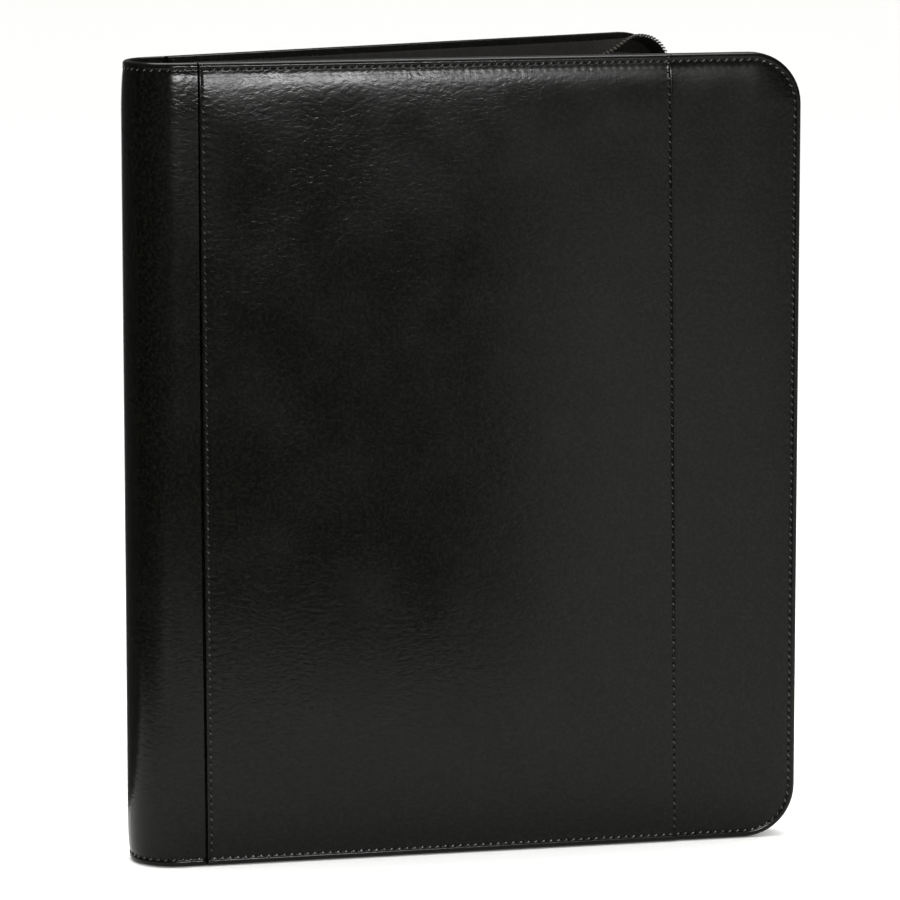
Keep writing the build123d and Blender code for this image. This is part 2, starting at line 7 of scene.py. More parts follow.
# %% Load the frame
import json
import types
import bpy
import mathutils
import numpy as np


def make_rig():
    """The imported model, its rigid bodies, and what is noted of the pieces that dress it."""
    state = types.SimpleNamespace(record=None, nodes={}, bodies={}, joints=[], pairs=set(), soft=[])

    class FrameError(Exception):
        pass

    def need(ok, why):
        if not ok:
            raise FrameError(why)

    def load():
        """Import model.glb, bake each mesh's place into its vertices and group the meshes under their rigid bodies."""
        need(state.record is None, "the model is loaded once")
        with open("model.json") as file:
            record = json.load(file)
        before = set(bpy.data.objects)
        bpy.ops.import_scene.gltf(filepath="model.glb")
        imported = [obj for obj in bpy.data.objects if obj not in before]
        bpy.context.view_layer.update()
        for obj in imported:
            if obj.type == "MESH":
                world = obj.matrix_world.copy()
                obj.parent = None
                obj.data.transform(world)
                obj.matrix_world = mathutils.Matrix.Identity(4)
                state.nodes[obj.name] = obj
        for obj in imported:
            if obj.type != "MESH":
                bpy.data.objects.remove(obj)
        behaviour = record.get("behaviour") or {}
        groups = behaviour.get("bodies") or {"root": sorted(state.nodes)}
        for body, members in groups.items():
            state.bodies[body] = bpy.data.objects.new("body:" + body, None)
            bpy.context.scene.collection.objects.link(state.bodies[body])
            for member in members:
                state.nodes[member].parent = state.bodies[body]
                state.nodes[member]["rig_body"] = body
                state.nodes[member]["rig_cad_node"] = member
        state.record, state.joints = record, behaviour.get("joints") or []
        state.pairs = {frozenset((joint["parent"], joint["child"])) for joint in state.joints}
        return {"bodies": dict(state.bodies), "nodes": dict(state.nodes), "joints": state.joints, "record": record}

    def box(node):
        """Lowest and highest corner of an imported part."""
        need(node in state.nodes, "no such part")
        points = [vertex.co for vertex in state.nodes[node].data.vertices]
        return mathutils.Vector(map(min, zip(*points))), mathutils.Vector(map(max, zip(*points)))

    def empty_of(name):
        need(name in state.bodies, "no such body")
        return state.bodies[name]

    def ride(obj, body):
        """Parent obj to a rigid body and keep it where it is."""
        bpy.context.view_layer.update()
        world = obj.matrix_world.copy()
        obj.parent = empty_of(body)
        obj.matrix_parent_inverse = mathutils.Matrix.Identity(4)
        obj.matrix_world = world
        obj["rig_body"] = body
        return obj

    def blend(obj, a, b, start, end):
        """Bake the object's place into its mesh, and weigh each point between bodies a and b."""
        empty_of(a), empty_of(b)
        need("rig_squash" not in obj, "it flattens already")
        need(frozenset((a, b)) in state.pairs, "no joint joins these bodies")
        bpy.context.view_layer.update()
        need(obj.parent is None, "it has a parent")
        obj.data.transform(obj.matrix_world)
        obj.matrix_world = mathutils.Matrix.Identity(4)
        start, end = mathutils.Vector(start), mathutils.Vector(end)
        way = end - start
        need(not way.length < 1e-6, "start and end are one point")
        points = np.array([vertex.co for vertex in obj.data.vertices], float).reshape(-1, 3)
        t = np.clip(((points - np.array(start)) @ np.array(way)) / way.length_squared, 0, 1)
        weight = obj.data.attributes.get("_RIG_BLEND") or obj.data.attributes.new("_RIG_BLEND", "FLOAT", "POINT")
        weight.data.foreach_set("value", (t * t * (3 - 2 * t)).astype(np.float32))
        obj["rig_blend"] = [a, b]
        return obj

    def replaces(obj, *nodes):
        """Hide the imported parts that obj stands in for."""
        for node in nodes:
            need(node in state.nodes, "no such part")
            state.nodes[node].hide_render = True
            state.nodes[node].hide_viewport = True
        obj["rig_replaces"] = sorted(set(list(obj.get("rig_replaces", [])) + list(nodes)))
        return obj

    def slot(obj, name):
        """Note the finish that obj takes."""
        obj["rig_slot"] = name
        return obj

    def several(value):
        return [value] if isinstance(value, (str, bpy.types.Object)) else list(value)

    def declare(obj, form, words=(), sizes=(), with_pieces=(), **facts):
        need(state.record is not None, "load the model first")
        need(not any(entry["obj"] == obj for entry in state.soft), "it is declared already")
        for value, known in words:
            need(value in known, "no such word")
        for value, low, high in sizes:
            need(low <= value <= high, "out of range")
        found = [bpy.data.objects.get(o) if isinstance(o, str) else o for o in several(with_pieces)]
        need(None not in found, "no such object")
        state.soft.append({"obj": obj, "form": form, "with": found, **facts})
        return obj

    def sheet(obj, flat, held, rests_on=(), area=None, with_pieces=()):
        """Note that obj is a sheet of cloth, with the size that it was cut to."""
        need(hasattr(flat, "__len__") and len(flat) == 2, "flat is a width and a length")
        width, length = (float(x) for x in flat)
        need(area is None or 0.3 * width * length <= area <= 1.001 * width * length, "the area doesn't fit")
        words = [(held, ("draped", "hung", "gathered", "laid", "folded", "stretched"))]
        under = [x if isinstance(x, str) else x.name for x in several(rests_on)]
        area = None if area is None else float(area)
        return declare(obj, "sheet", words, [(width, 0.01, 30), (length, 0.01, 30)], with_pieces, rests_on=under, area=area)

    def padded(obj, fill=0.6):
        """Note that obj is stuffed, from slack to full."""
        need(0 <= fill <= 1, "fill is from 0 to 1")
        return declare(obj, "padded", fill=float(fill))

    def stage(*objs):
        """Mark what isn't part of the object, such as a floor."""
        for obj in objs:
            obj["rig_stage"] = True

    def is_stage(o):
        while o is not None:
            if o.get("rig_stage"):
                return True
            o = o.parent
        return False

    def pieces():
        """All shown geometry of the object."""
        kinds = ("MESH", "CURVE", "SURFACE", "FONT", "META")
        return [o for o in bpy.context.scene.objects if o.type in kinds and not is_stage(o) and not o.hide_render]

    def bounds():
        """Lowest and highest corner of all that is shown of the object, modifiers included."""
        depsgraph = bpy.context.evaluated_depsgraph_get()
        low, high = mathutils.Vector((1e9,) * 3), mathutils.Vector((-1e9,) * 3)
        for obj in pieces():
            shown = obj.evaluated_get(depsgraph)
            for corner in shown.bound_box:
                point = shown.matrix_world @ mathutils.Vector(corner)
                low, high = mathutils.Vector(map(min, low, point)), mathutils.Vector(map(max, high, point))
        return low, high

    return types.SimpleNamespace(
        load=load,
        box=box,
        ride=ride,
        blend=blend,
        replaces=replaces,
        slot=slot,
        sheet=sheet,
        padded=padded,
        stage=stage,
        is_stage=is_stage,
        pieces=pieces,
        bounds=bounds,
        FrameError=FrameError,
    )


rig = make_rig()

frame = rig.load()
import json
import math
import bmesh
import bpy
from mathutils import Euler, Matrix, Vector

cad_box = [list(corner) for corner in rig.bounds()]
print("CAD box in metres:", cad_box)

# %% [markdown]
# ## The frame of one cover
# A cover is a flat thing that stands at an angle, so it is easier to model it lying flat on a bench:
# x runs along the cover from its hinge, y is its height and z points out of the leather, all in
# millimetres. One matrix then stands it in its place. The back cover is the mirror image of the front.

# %% Sizes and the two covers' places
MM, METRE = 0.001, 1000
HEIGHT, COVER_WIDTH, CORNER = 336.0, 263.0, 22.0
COVER_DEPTH, HEM = 5.5, 8.0
TURN = math.radians(11.0)
HINGE_X, HINGE_Y, HINGE_DEPTH = -120.689, 18.4, 0.6
FRONT, BACK = -1, 1
BODY = {FRONT: "front_cover", BACK: "back_cover"}
SIDE_NAME = {FRONT: "front", BACK: "back"}


def cover_place(side):
    """Matrix that stands a flat cover up in the row frame, in metres."""
    along = Vector((math.cos(TURN), side * math.sin(TURN), 0))
    out = Vector((-math.sin(TURN), side * math.cos(TURN), 0))
    stand = Matrix((along, (0, 0, 1), out)).transposed().to_4x4()
    stand.translation = Vector((HINGE_X, side * HINGE_Y, 0)) + out * HINGE_DEPTH
    return Matrix.Scale(MM, 4) @ stand


print("front cover's outer corner:", cover_place(FRONT) @ Vector((COVER_WIDTH, HEIGHT, 0)))

# %% [markdown]
# ## Camera, floor and light
# The camera's place was fitted to the edges of the case in the photograph. It is a long lens a little
# above the case, so the uprights stay nearly parallel. A big white floor and soft boxes stand in for
# the white studio: black glazed leather shows little of its own colour, it shows the lights.

# %% Camera
CAMERA_AT = Vector((-0.9068, -2.0309, 0.5077))
CAMERA_TARGET = Vector((-0.0142, -0.0460, 0.1732))
camera = bpy.data.objects.new("camera", bpy.data.cameras.new("camera"))
camera.data.lens, camera.data.sensor_width = 211.5, 36
camera.data.clip_end = 100
camera.location = CAMERA_AT
camera.rotation_euler = (CAMERA_TARGET - CAMERA_AT).to_track_quat("-Z", "Y").to_euler()
bpy.context.scene.collection.objects.link(camera)
bpy.context.scene.camera = camera
print("camera", round((CAMERA_AT - CAMERA_TARGET).length, 3), "m from the case")


# %% Colours and one function for nodes
def colour(code):
    """sRGB hex to the linear colour that Blender's sockets take."""
    parts = [int(code[i:i + 2], 16) / 255 for i in (1, 3, 5)]
    return [((c + 0.055) / 1.055) ** 2.4 if c > 0.04045 else c / 12.92 for c in parts] + [1.0]


def node(tree, kind, inputs=None, **settings):
    """Adds one node: settings are its switches, inputs are numbers, colours, sockets or other nodes."""
    made = tree.nodes.new("ShaderNode" + kind)
    for name, value in settings.items():
        setattr(made, name, value)
    for name, value in (inputs or {}).items():
        if isinstance(value, bpy.types.Node):
            value = value.outputs[0]
        if isinstance(value, bpy.types.NodeSocket):
            tree.links.new(value, made.inputs[name])
        else:
            made.inputs[name].default_value = value
    return made


def new_material(name):
    """A material, its shader tree, its Principled shader and the Object coordinates."""
    made = bpy.data.materials.new(name)
    made.use_nodes = True
    shader = made.node_tree.nodes["Principled BSDF"]
    where = node(made.node_tree, "TexCoord").outputs["Object"]
    return made, made.node_tree, shader, where


def dress(tree, shader, relief=None, tone=None, rough=None, rise=1.0, **constants):
    """Joins patterns to the shader: a relief that rises by `rise` millimetres, a colour or a pattern with
    the two colours that it mixes, and a roughness. The rest are constants."""
    if relief:
        bump = node(tree, "Bump", {"Height": relief, "Distance": rise * MM, "Strength": 1.0})
        tree.links.new(bump.outputs[0], shader.inputs["Normal"])
    if isinstance(tone, tuple):
        pattern, dark, lit = tone
        mixed = node(tree, "Mix", {0: pattern, 6: colour(dark), 7: colour(lit)}, data_type="RGBA")
        tone = mixed.outputs[2]
    for name, source in (("Base Color", tone), ("Roughness", rough)):
        if source:
            tree.links.new(source, shader.inputs[name])
    for name, value in constants.items():
        shader.inputs[name.replace("_", " ")].default_value = value


# %% The floor
FLOOR_WIDTH, FLOOR_DROP = 28, 0.0004


def staged_sheet(name, lie, material):
    """A flat sheet of the stage. It is one metre square before the matrix `lie` sizes and places it."""
    bm = bmesh.new()
    bmesh.ops.create_grid(bm, x_segments=1, y_segments=1, size=0.5)
    bmesh.ops.transform(bm, matrix=lie, verts=bm.verts)
    mesh = bpy.data.meshes.new(name)
    bm.to_mesh(mesh)
    bm.free()
    mesh.materials.append(material)
    sheet = bpy.data.objects.new(name, mesh)
    bpy.context.scene.collection.objects.link(sheet)
    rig.stage(sheet)
    return sheet


paper_sweep, tree, shader, _ = new_material("matt_white_paper_sweep")
# The leather mirrors the floor a little darker than the camera sees it, to keep its black from the side.
mirrored = node(tree, "LightPath").outputs["Is Glossy Ray"]
dress(tree, shader, tone=(mirrored, "#f4f4f2", "#dadad8"), Roughness=0.9)
floor_lies = Matrix.Translation((0, 0, -FLOOR_DROP)) @ Matrix.Diagonal((FLOOR_WIDTH, FLOOR_WIDTH, 1, 1))
staged_sheet("floor", floor_lies, paper_sweep)
print("floor", FLOOR_WIDTH, "m wide")

# %% The white room
ROOM_LIGHT, ROOM_MIRRORED = 1.17, 0.15
world = bpy.data.worlds.new("white_room")
world.use_nodes = True
air = world.node_tree
glossy = node(air, "LightPath").outputs["Is Glossy Ray"]
glow = node(air, "MapRange", {"Value": glossy, "To Min": ROOM_LIGHT, "To Max": ROOM_MIRRORED})
air.links.new(glow.outputs[0], air.nodes["Background"].inputs["Strength"])
air.nodes["Background"].inputs["Color"].default_value = colour("#ffffff")
bpy.context.scene.world = world
bpy.context.scene.view_settings.view_transform = "Standard"
print("room light", ROOM_LIGHT, "and in a mirror", ROOM_MIRRORED)


# %% Soft boxes
def light_box(name, at, aim, width, height, power):
    """A soft box: a rectangle of light that looks at a point."""
    data = bpy.data.lights.new(name, "AREA")
    data.shape, data.size, data.size_y, data.energy = "RECTANGLE", width, height, power
    box = bpy.data.objects.new(name, data)
    box.location = at
    box.rotation_euler = (Vector(aim) - Vector(at)).to_track_quat("-Z", "Y").to_euler()
    box.visible_camera = False
    bpy.context.scene.collection.objects.link(box)


light_box("top_box", (0.05, 0.15, 1.25), (0, 0.05, 0), 0.9, 0.9, 20)
light_box("front_box", (-0.17, -2.2, 0.70), (0, -0.03, 0.3), 0.46, 0.12, 22)
print("lights:", [o.name for o in bpy.data.objects if o.type == "LIGHT"])

# %% [markdown]
# ## Dark cards
# A studio shapes a glossy thing by what it mirrors. Black cards beside it give the deep black of the spine
# and of the front's left half. These cards are seen in reflections only, and cast no shade. Each darkens
# from its front edge to the back, so that no hard line shows in the leather.

# %% Dark cards
CARD_FRONT, CARD_FADE = -0.48, 0.5
UPRIGHT = math.pi / 2


def dark_card(name, at, width, height, turn, glow):
    """A card that only reflections see. `turn` stands it up, `glow` is what is left of it at the back."""
    made, tree, shader, where = new_material(name)
    dress(tree, shader, Base_Color=colour("#000000"), Emission_Color=colour("#ffffff"))
    deep = node(tree, "SeparateXYZ", {0: where}).outputs["Y"]
    fades = node(tree, "MapRange", {"Value": deep, "From Min": CARD_FRONT, "From Max": CARD_FRONT + CARD_FADE,
                                    "To Min": ROOM_MIRRORED, "To Max": glow}, interpolation_type="SMOOTHSTEP")
    tree.links.new(fades.outputs[0], shader.inputs["Emission Strength"])
    lie = Matrix.Translation(at) @ Euler(turn).to_matrix().to_4x4() @ Matrix.Diagonal((width, height, 1, 1))
    card = staged_sheet(name, lie, made)
    card.visible_camera = card.visible_diffuse = card.visible_shadow = card.visible_transmission = False


dark_card("left_card", (-0.45, 0.51, 0.4), 1.98, 0.8, (UPRIGHT, 0, UPRIGHT), 0.03)
dark_card("front_card", (-0.205, CARD_FRONT, 0.16), 0.49, 0.32, (UPRIGHT, 0, 0), 0.05)
dark_card("rim_card", (-0.2925, 0.10, 0.2), 0.315, 0.4, (UPRIGHT, 0, 0), 0.06)
print("cards:", [o.name for o in bpy.data.objects if o.name.endswith("_card")])

# %% [markdown]
# ## Making a piece
# Every piece is a bmesh first. One function puts it in its place, turns its faces outwards, shades
# it smooth with crisp edges and hands it to its CAD body.


# %% The piece maker
def make_piece(name, bm, place, material, body=None, slot=None, nodes=(), crisp=40, sewn=None):
    """Turns a bmesh into a named object. `place` is a matrix or a function from flat to row frame.
    `sewn` names what each point carries for its material: how far along and beside a stitch line it
    is, or its place on the flat cloth."""
    for line, measure in (sewn or {}).items():
        layer = bm.verts.layers.float_vector.new(line)
        for vert in bm.verts:
            vert[layer] = (*measure(vert.co), 0.0)
    if callable(place):
        for vert in bm.verts:
            vert.co = place(vert.co)
    else:
        bmesh.ops.transform(bm, matrix=place, verts=bm.verts)
    bmesh.ops.recalc_face_normals(bm, faces=bm.faces)
    for face in bm.faces:
        face.smooth = True
    mesh = bpy.data.meshes.new(name)
    bm.to_mesh(mesh)
    bm.free()
    mesh.set_sharp_from_angle(angle=math.radians(crisp))
    mesh.materials.append(material)
    piece = bpy.data.objects.new(name, mesh)
    bpy.context.scene.collection.objects.link(piece)
    if body:
        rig.ride(piece, body)
    if slot:
        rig.slot(piece, slot)
    if nodes:
        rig.replaces(piece, *nodes)
    print(name, len(mesh.polygons), "faces")
    return piece


# %% [markdown]
# ## Glazed leather
# Bonded leather with a glazed black finish: nearly black, with a soft mirror of the room in it. What
# the eye reads is its creases, thin raised lines that run mostly level, over a finer crackle, and pores a
# shade lighter than the glaze. Beside the stitches the leather is pulled in at every stitch and pierced at
# its ends. That follows the stitch lines, so the pieces carry how far along and beside a line each point
# is. All sizes here are millimetres.

# %% Glazed leather
CREASE_SIZE, CELL_SIZE = (3.2, 3.2, 1.7), (3.0, 3.0, 1.5)
BEND_SIZE, BEND_PUSH, PATCH_SIZE, SWELL_SIZE, PORE_SIZE = 26, 9, 48, 30, 1.3
CREST_HIGH, CELL_DEEP, RIPPLE_HIGH = 0.35, -1.5, 4.0
CREASE_RELIEF, SWELL_RELIEF = 0.021, 0.08
STITCH_PITCH, PULL, PULL_START, PULL_FULL, PULL_END = 3.3, 0.012, 0.1, 1.2, 4.0
HOLE_DEEP, HOLE_CORE, HOLE_EDGE, HOLE_SHARE = -0.3, 0.2, 0.6, 0.55


def glazed_leather(name, crease=1.0, tone="#030303", lit="#0d0d09", roughness=0.19, fade=None):
    """`crease` is the strength of the creases, `fade` where they die out along x, in metres."""
    made, tree, shader, where = new_material(name)
    warp = node(tree, "TexNoise", {"Vector": where, "Scale": METRE / BEND_SIZE, "Detail": 2.0})
    push = node(tree, "VectorMath", {0: warp.outputs["Color"], "Scale": BEND_PUSH * MM}, operation="SCALE")
    bent = node(tree, "VectorMath", {0: where, 1: push}, operation="ADD")
    level = node(tree, "Mapping", {"Vector": bent, "Scale": [METRE / size for size in CREASE_SIZE]})
    waves = node(tree, "TexNoise", {"Vector": level, "Scale": 1.0, "Detail": 2.0, "Roughness": 0.55})
    off = node(tree, "Math", {0: waves, 1: 0.5}, operation="SUBTRACT")
    away = node(tree, "Math", {0: off}, operation="ABSOLUTE")
    crest = node(tree, "MapRange", {"Value": away, "From Max": 0.08, "To Min": CREST_HIGH, "To Max": 0.0},
                 interpolation_type="SMOOTHSTEP")
    squat = node(tree, "Mapping", {"Vector": bent, "Scale": [METRE / size for size in CELL_SIZE]})
    cells = node(tree, "TexVoronoi", {"Vector": squat, "Scale": 1.0}, feature="SMOOTH_F1")
    patches = node(tree, "TexNoise", {"Vector": where, "Scale": METRE / PATCH_SIZE, "Detail": 1.5})
    strong = node(tree, "MapRange", {"Value": patches, "From Min": 0.36, "From Max": 0.62, "To Min": 0.4})
    if fade:
        along = node(tree, "SeparateXYZ", {0: where}).outputs["X"]
        fades = node(tree, "MapRange", {"Value": along, "From Min": fade[0], "From Max": fade[1],
                                        "To Min": 1.0, "To Max": 0.2})
        strong = node(tree, "Math", {0: strong, 1: fades}, operation="MULTIPLY")
    grain = node(tree, "Math", {0: cells, 1: CELL_DEEP, 2: crest}, operation="MULTIPLY_ADD")
    ripples = node(tree, "Math", {0: waves, 1: RIPPLE_HIGH, 2: grain}, operation="MULTIPLY_ADD")
    creased = node(tree, "Math", {0: ripples, 1: strong}, operation="MULTIPLY")
    swell = node(tree, "TexNoise", {"Vector": where, "Scale": METRE / SWELL_SIZE, "Detail": 1.0})
    rise = node(tree, "Math", {0: swell, 1: SWELL_RELIEF}, operation="MULTIPLY")
    relief = node(tree, "Math", {0: creased, 1: CREASE_RELIEF * crease, 2: rise}, operation="MULTIPLY_ADD")
    for line in ("rim", "seam"):
        place = node(tree, "Attribute", attribute_name=line).outputs["Vector"]
        axes = node(tree, "SeparateXYZ", {0: place})
        turns = node(tree, "Math", {0: axes.outputs["X"], 1: 2 * math.pi / STITCH_PITCH},
                     operation="MULTIPLY")
        wave = node(tree, "Math", {0: turns}, operation="COSINE")
        beside = axes.outputs["Y"]
        starts = node(tree, "MapRange", {"Value": beside, "From Min": PULL_START, "From Max": PULL_FULL})
        ends = node(tree, "MapRange", {"Value": beside, "From Min": PULL_FULL, "From Max": PULL_END,
                                       "To Min": PULL, "To Max": 0.0})
        near = node(tree, "Math", {0: starts, 1: ends}, operation="MULTIPLY")
        relief = node(tree, "Math", {0: wave, 1: near, 2: relief}, operation="MULTIPLY_ADD")
        far = node(tree, "Math", {0: beside}, operation="ABSOLUTE")
        width = node(tree, "MapRange", {"Value": far, "From Min": HOLE_CORE, "From Max": HOLE_EDGE,
                                        "To Min": HOLE_DEEP, "To Max": 0.0})
        length = node(tree, "MapRange", {"Value": wave, "From Min": HOLE_SHARE, "From Max": 1.0})
        relief = node(tree, "Math", {0: width, 1: length, 2: relief}, operation="MULTIPLY_ADD")
    worn = node(tree, "MapRange", {"Value": swell, "From Min": 0.3, "From Max": 0.7,
                                   "To Min": roughness - 0.03, "To Max": roughness + 0.05})
    pores = node(tree, "TexNoise", {"Vector": bent, "Scale": METRE / PORE_SIZE, "Detail": 3.0,
                                    "Roughness": 0.7})
    light = node(tree, "MapRange", {"Value": pores, "From Min": 0.43, "From Max": 0.64})
    dress(tree, shader, relief, (light, tone, lit), worn.outputs[0], IOR=1.5, Specular_IOR_Level=0.17)
    return made


leather = glazed_leather("black_glazed_bonded_leather", crease=1.0, fade=(-0.03, 0.09))
smooth_leather = glazed_leather("black_glazed_leather_smooth_cut", crease=0.35)
pocket_leather = glazed_leather("black_satin_pocket_leather", crease=0.45, tone="#0f0f0e", lit="#1b1b1a",
                                roughness=0.42)
print("leathers:", leather.name, smooth_leather.name, pocket_leather.name)

# %% [markdown]
# ## Thread, cloth and nylon
# Bonded polyester thread is twisted from plies, so each stitch glints in short slanted lights; the lighter
# tops of the plies are a painted highlight. The zipper tape and the lining are plain weaves: threads that
# pass over and under each other, with a painted highlight where they cross over. The weave has to follow
# the cloth, so those pieces carry their flat coordinates in millimetres. The real threads are about
# 0.3 mm apart, too fine to show, so the weave is drawn two to three times as coarse.


# %% Thread, weaves and the nylon coil
def twisted_thread(name, tone, lit):
    """Twisted plies: slanted waves, lighter on their tops as a painted highlight. Real plies are too fine to show
    in a stitch, so the waves come about 3.8 mm apart and change the glint from stitch to stitch."""
    made, tree, shader, where = new_material(name)
    slanted = node(tree, "Mapping", {"Vector": where, "Rotation": (0.6, 0.6, 0.6)})
    plies = node(tree, "TexWave", {"Vector": slanted, "Scale": METRE / 12, "Distortion": 1.0})
    # The ply waves lighten the thread on their tops: a painted highlight.
    dress(tree, shader, plies, (plies, tone, lit), rise=0.05, Roughness=0.3, Specular_IOR_Level=0.8)
    return made


def plain_weave(name, tone, lit, pitch, across=None, roughness=0.75, gloss=0.2):
    """Threads `pitch` mm apart, or `across` mm in the other direction, lighter where they cross over as a painted
    highlight, made uneven by slubs.
    """
    made, tree, shader, where = new_material(name)
    axes = node(tree, "SeparateXYZ", {0: node(tree, "Attribute", attribute_name="weave").outputs["Vector"]})
    waves = []
    for axis, step in (("X", pitch), ("Y", across or pitch)):
        turns = node(tree, "Math", {0: axes.outputs[axis], 1: math.pi / step}, operation="MULTIPLY")
        waves.append(node(tree, "Math", {0: turns}, operation="SINE"))
    over = node(tree, "Math", {0: waves[0], 1: waves[1]}, operation="MULTIPLY")
    high = node(tree, "MapRange", {"Value": over, "From Min": -1.0, "From Max": 1.0})
    slubs = node(tree, "TexNoise", {"Vector": where, "Scale": METRE / 2.5, "Detail": 2.0})
    # The crossings lighten the colour as a painted highlight, made uneven by slubs.
    crossing_highlight_and_slubs = node(tree, "Math", {0: high, 1: slubs}, operation="MULTIPLY")
    dress(tree, shader, high, (crossing_highlight_and_slubs, tone, lit), rise=0.14, Roughness=roughness, Specular_IOR_Level=gloss)
    return made


def nylon(name, tone, lit):
    """Drawn nylon wire: smooth, a little cloudy, lighter where it is scuffed."""
    made, tree, shader, where = new_material(name)
    cloud = node(tree, "TexNoise", {"Vector": where, "Scale": METRE / 1.2, "Detail": 2.0})
    dress(tree, shader, cloud, (cloud, tone, lit), rise=0.03, Roughness=0.2, Specular_IOR_Level=0.7)
    return made


thread = twisted_thread("black_bonded_polyester_thread", "#151514", "#383834")
tape_cloth = plain_weave("black_woven_polyester_tape", "#080807", "#211f1c", 0.8, gloss=0.05, roughness=0.9)
lining_cloth = plain_weave("charcoal_woven_nylon_lining", "#121212", "#2b2b29", 0.9, gloss=0.2)
elastic_cloth = plain_weave("black_ribbed_elastic", "#0f0f0e", "#222220", 1.2, 2.4)
coil_nylon = nylon("black_nylon_coil", "#1e1e1d", "#504e49")
black_enamel = nylon("black_enamelled_brass", "#0d0d0c", "#1d1d1b")
print("materials so far:", sorted(m.name for m in bpy.data.materials if m.use_nodes))

# %% [markdown]
# ## The leather panels
# The front is sewn from three panels. The middle one lies over its two neighbours with folded edges.
# All of them roll over the padded board: a bead at the edge, a stitched groove 3 mm inside it, then
# the soft rise of the padding. One flat slab gets that section by insetting its outline step by step,
# each step a little higher or lower, and knives (bisect planes) cut it into the panels.

# %% Sections of the rolled edge: how far inside the edge, how high
BEAD = 1.6
ROLL = [(BEAD * (1 - math.cos(a)), BEAD * (math.sin(a) - 1)) for a in (0.0, 0.4, 0.8, 1.2, math.pi / 2)]
GROOVE = [(2.1, 0.0), (2.5, -0.25), (3.0, -0.45), (3.5, -0.3), (4.2, -0.05)]
OUTER = ROLL + GROOVE + [(inset, 0.0) for inset in (6.0, 9.0, 12.0, 16.0, 20.0)]
HEM_ROLL = [(0.01, -4.6), (0.3, -5.2), (0.9, -COVER_DEPTH), (HEM, -COVER_DEPTH), (HEM + 0.3, -5.0)]
RUN_ON, WELD, CUT_SNAP = 60, 1e-4, 1e-5


def rolled_slab(low, high, outer, inner, corner=0.0, at="fore"):
    """Flat slab between two corners, whose outline is inset along two sections: outwards and inwards."""
    bm = bmesh.new()
    middle = ((low[0] + high[0]) / 2, (low[1] + high[1]) / 2, outer[0][1])
    for section in (outer, inner):
        new = bmesh.ops.create_grid(bm, x_segments=1, y_segments=1, size=0.5)["verts"]
        bmesh.ops.scale(bm, vec=(high[0] - low[0], high[1] - low[1], 1), verts=new)
        bmesh.ops.translate(bm, vec=middle, verts=new)
        plain = [v for v in new if (v.co.x < middle[0] if at == "fore" else v.co.y < middle[1])]
        if corner:
            bmesh.ops.bevel(bm, geom=[v for v in new if v not in plain], offset=corner, segments=12,
                            offset_type="OFFSET", profile=0.5, affect="VERTICES", material=-1)
        face = plain[0].link_faces[0]
        last = (0.0, outer[0][1])
        for inset, level in section:
            if (inset, level) != last:
                face.normal_update()
                bmesh.ops.inset_region(bm, faces=[face], thickness=inset - last[0], depth=level - last[1],
                                       use_even_offset=True, use_boundary=True)
            last = (inset, level)
    bmesh.ops.remove_doubles(bm, verts=bm.verts, dist=WELD)
    bmesh.ops.recalc_face_normals(bm, faces=bm.faces)
    return bm


def cover_slab():
    """The rolled slab of a whole cover, run on past the hinge."""
    return rolled_slab((-RUN_ON, 0), (COVER_WIDTH, HEIGHT), OUTER, HEM_ROLL, CORNER)


def knife(bm, at, normal, drop=None, close=False):
    """Cuts along a plane. drop="inner" or "outer" throws that side away, close fills the cut."""
    cut = bmesh.ops.bisect_plane(bm, geom=bm.verts[:] + bm.edges[:] + bm.faces[:], dist=CUT_SNAP,
                                 plane_co=at, plane_no=normal, clear_inner=drop == "inner",
                                 clear_outer=drop == "outer")
    edges = [e for e in cut["geom_cut"] if isinstance(e, bmesh.types.BMEdge)]
    if close:
        bmesh.ops.holes_fill(bm, edges=[e for e in edges if e.is_boundary], sides=0)
    return edges


slab = cover_slab()
print("slab", len(slab.verts), "verts", len(slab.faces), "faces, open edges",
      sum(e.is_boundary for e in slab.edges))
slab.free()

# %% [markdown]
# ## Seams
# Both seams of the front lean a little. Beside each, the middle panel's folded edge is rounded and a
# stitched groove is pressed into it, and the whole panel stands half a millimetre proud of its neighbours.

# %% Seams of the front
FIRST_LOW, FIRST_HIGH = 7.2, 5.6
SECOND_LOW, SECOND_HIGH = 211.0, 206.3
PROUD, PROUD_FOOT, PROUD_RISE = 0.5, -1.7, 1.2
SEAM_STITCH, GROOVE_HALF, GROOVE_DEEP, GROOVE_END = 1.6, 0.6, 0.35, 4
FOLD_ROUND, FOLD_FOOT = 0.45, -2.5
X_AXIS, Y_AXIS = Vector((1, 0, 0)), Vector((0, 1, 0))


def seam_plane(low, high):
    """Point and normal of the upright cut along a seam that leans from its lower to its upper end."""
    lean = math.atan2(low - high, HEIGHT)
    return Vector((low, 0, 0)), Vector((math.cos(lean), math.sin(lean), 0))


FIRST_POINT, FIRST_NORMAL = seam_plane(FIRST_LOW, FIRST_HIGH)
SECOND_POINT, SECOND_NORMAL = seam_plane(SECOND_LOW, SECOND_HIGH)


def seam_groove(bm, point, normal):
    """Presses a stitched groove beside a folded edge: three cuts, and the middle one goes down."""
    for shift in (-GROOVE_HALF, 0.0, GROOVE_HALF):
        edges = knife(bm, point + normal * (SEAM_STITCH + shift), normal)
        if shift == 0.0:
            pressed = {v for e in edges for v in e.verts
                       if v.co.z > PROUD - 0.2 and GROOVE_END < v.co.y < HEIGHT - GROOVE_END}
            bmesh.ops.translate(bm, vec=(0, 0, -GROOVE_DEEP), verts=list(pressed))


def fold_edge(bm, point, normal):
    """Rounds the outer edge of a panel along one seam."""
    rim = [e for e in bm.edges if len(e.link_faces) == 2
           and all(abs((v.co - point).dot(normal)) < 1e-3 and v.co.z > FOLD_FOOT for v in e.verts)]
    bmesh.ops.bevel(bm, geom=rim, offset=FOLD_ROUND, offset_type="OFFSET", segments=3, profile=0.5,
                    affect="EDGES", material=-1, clamp_overlap=True)


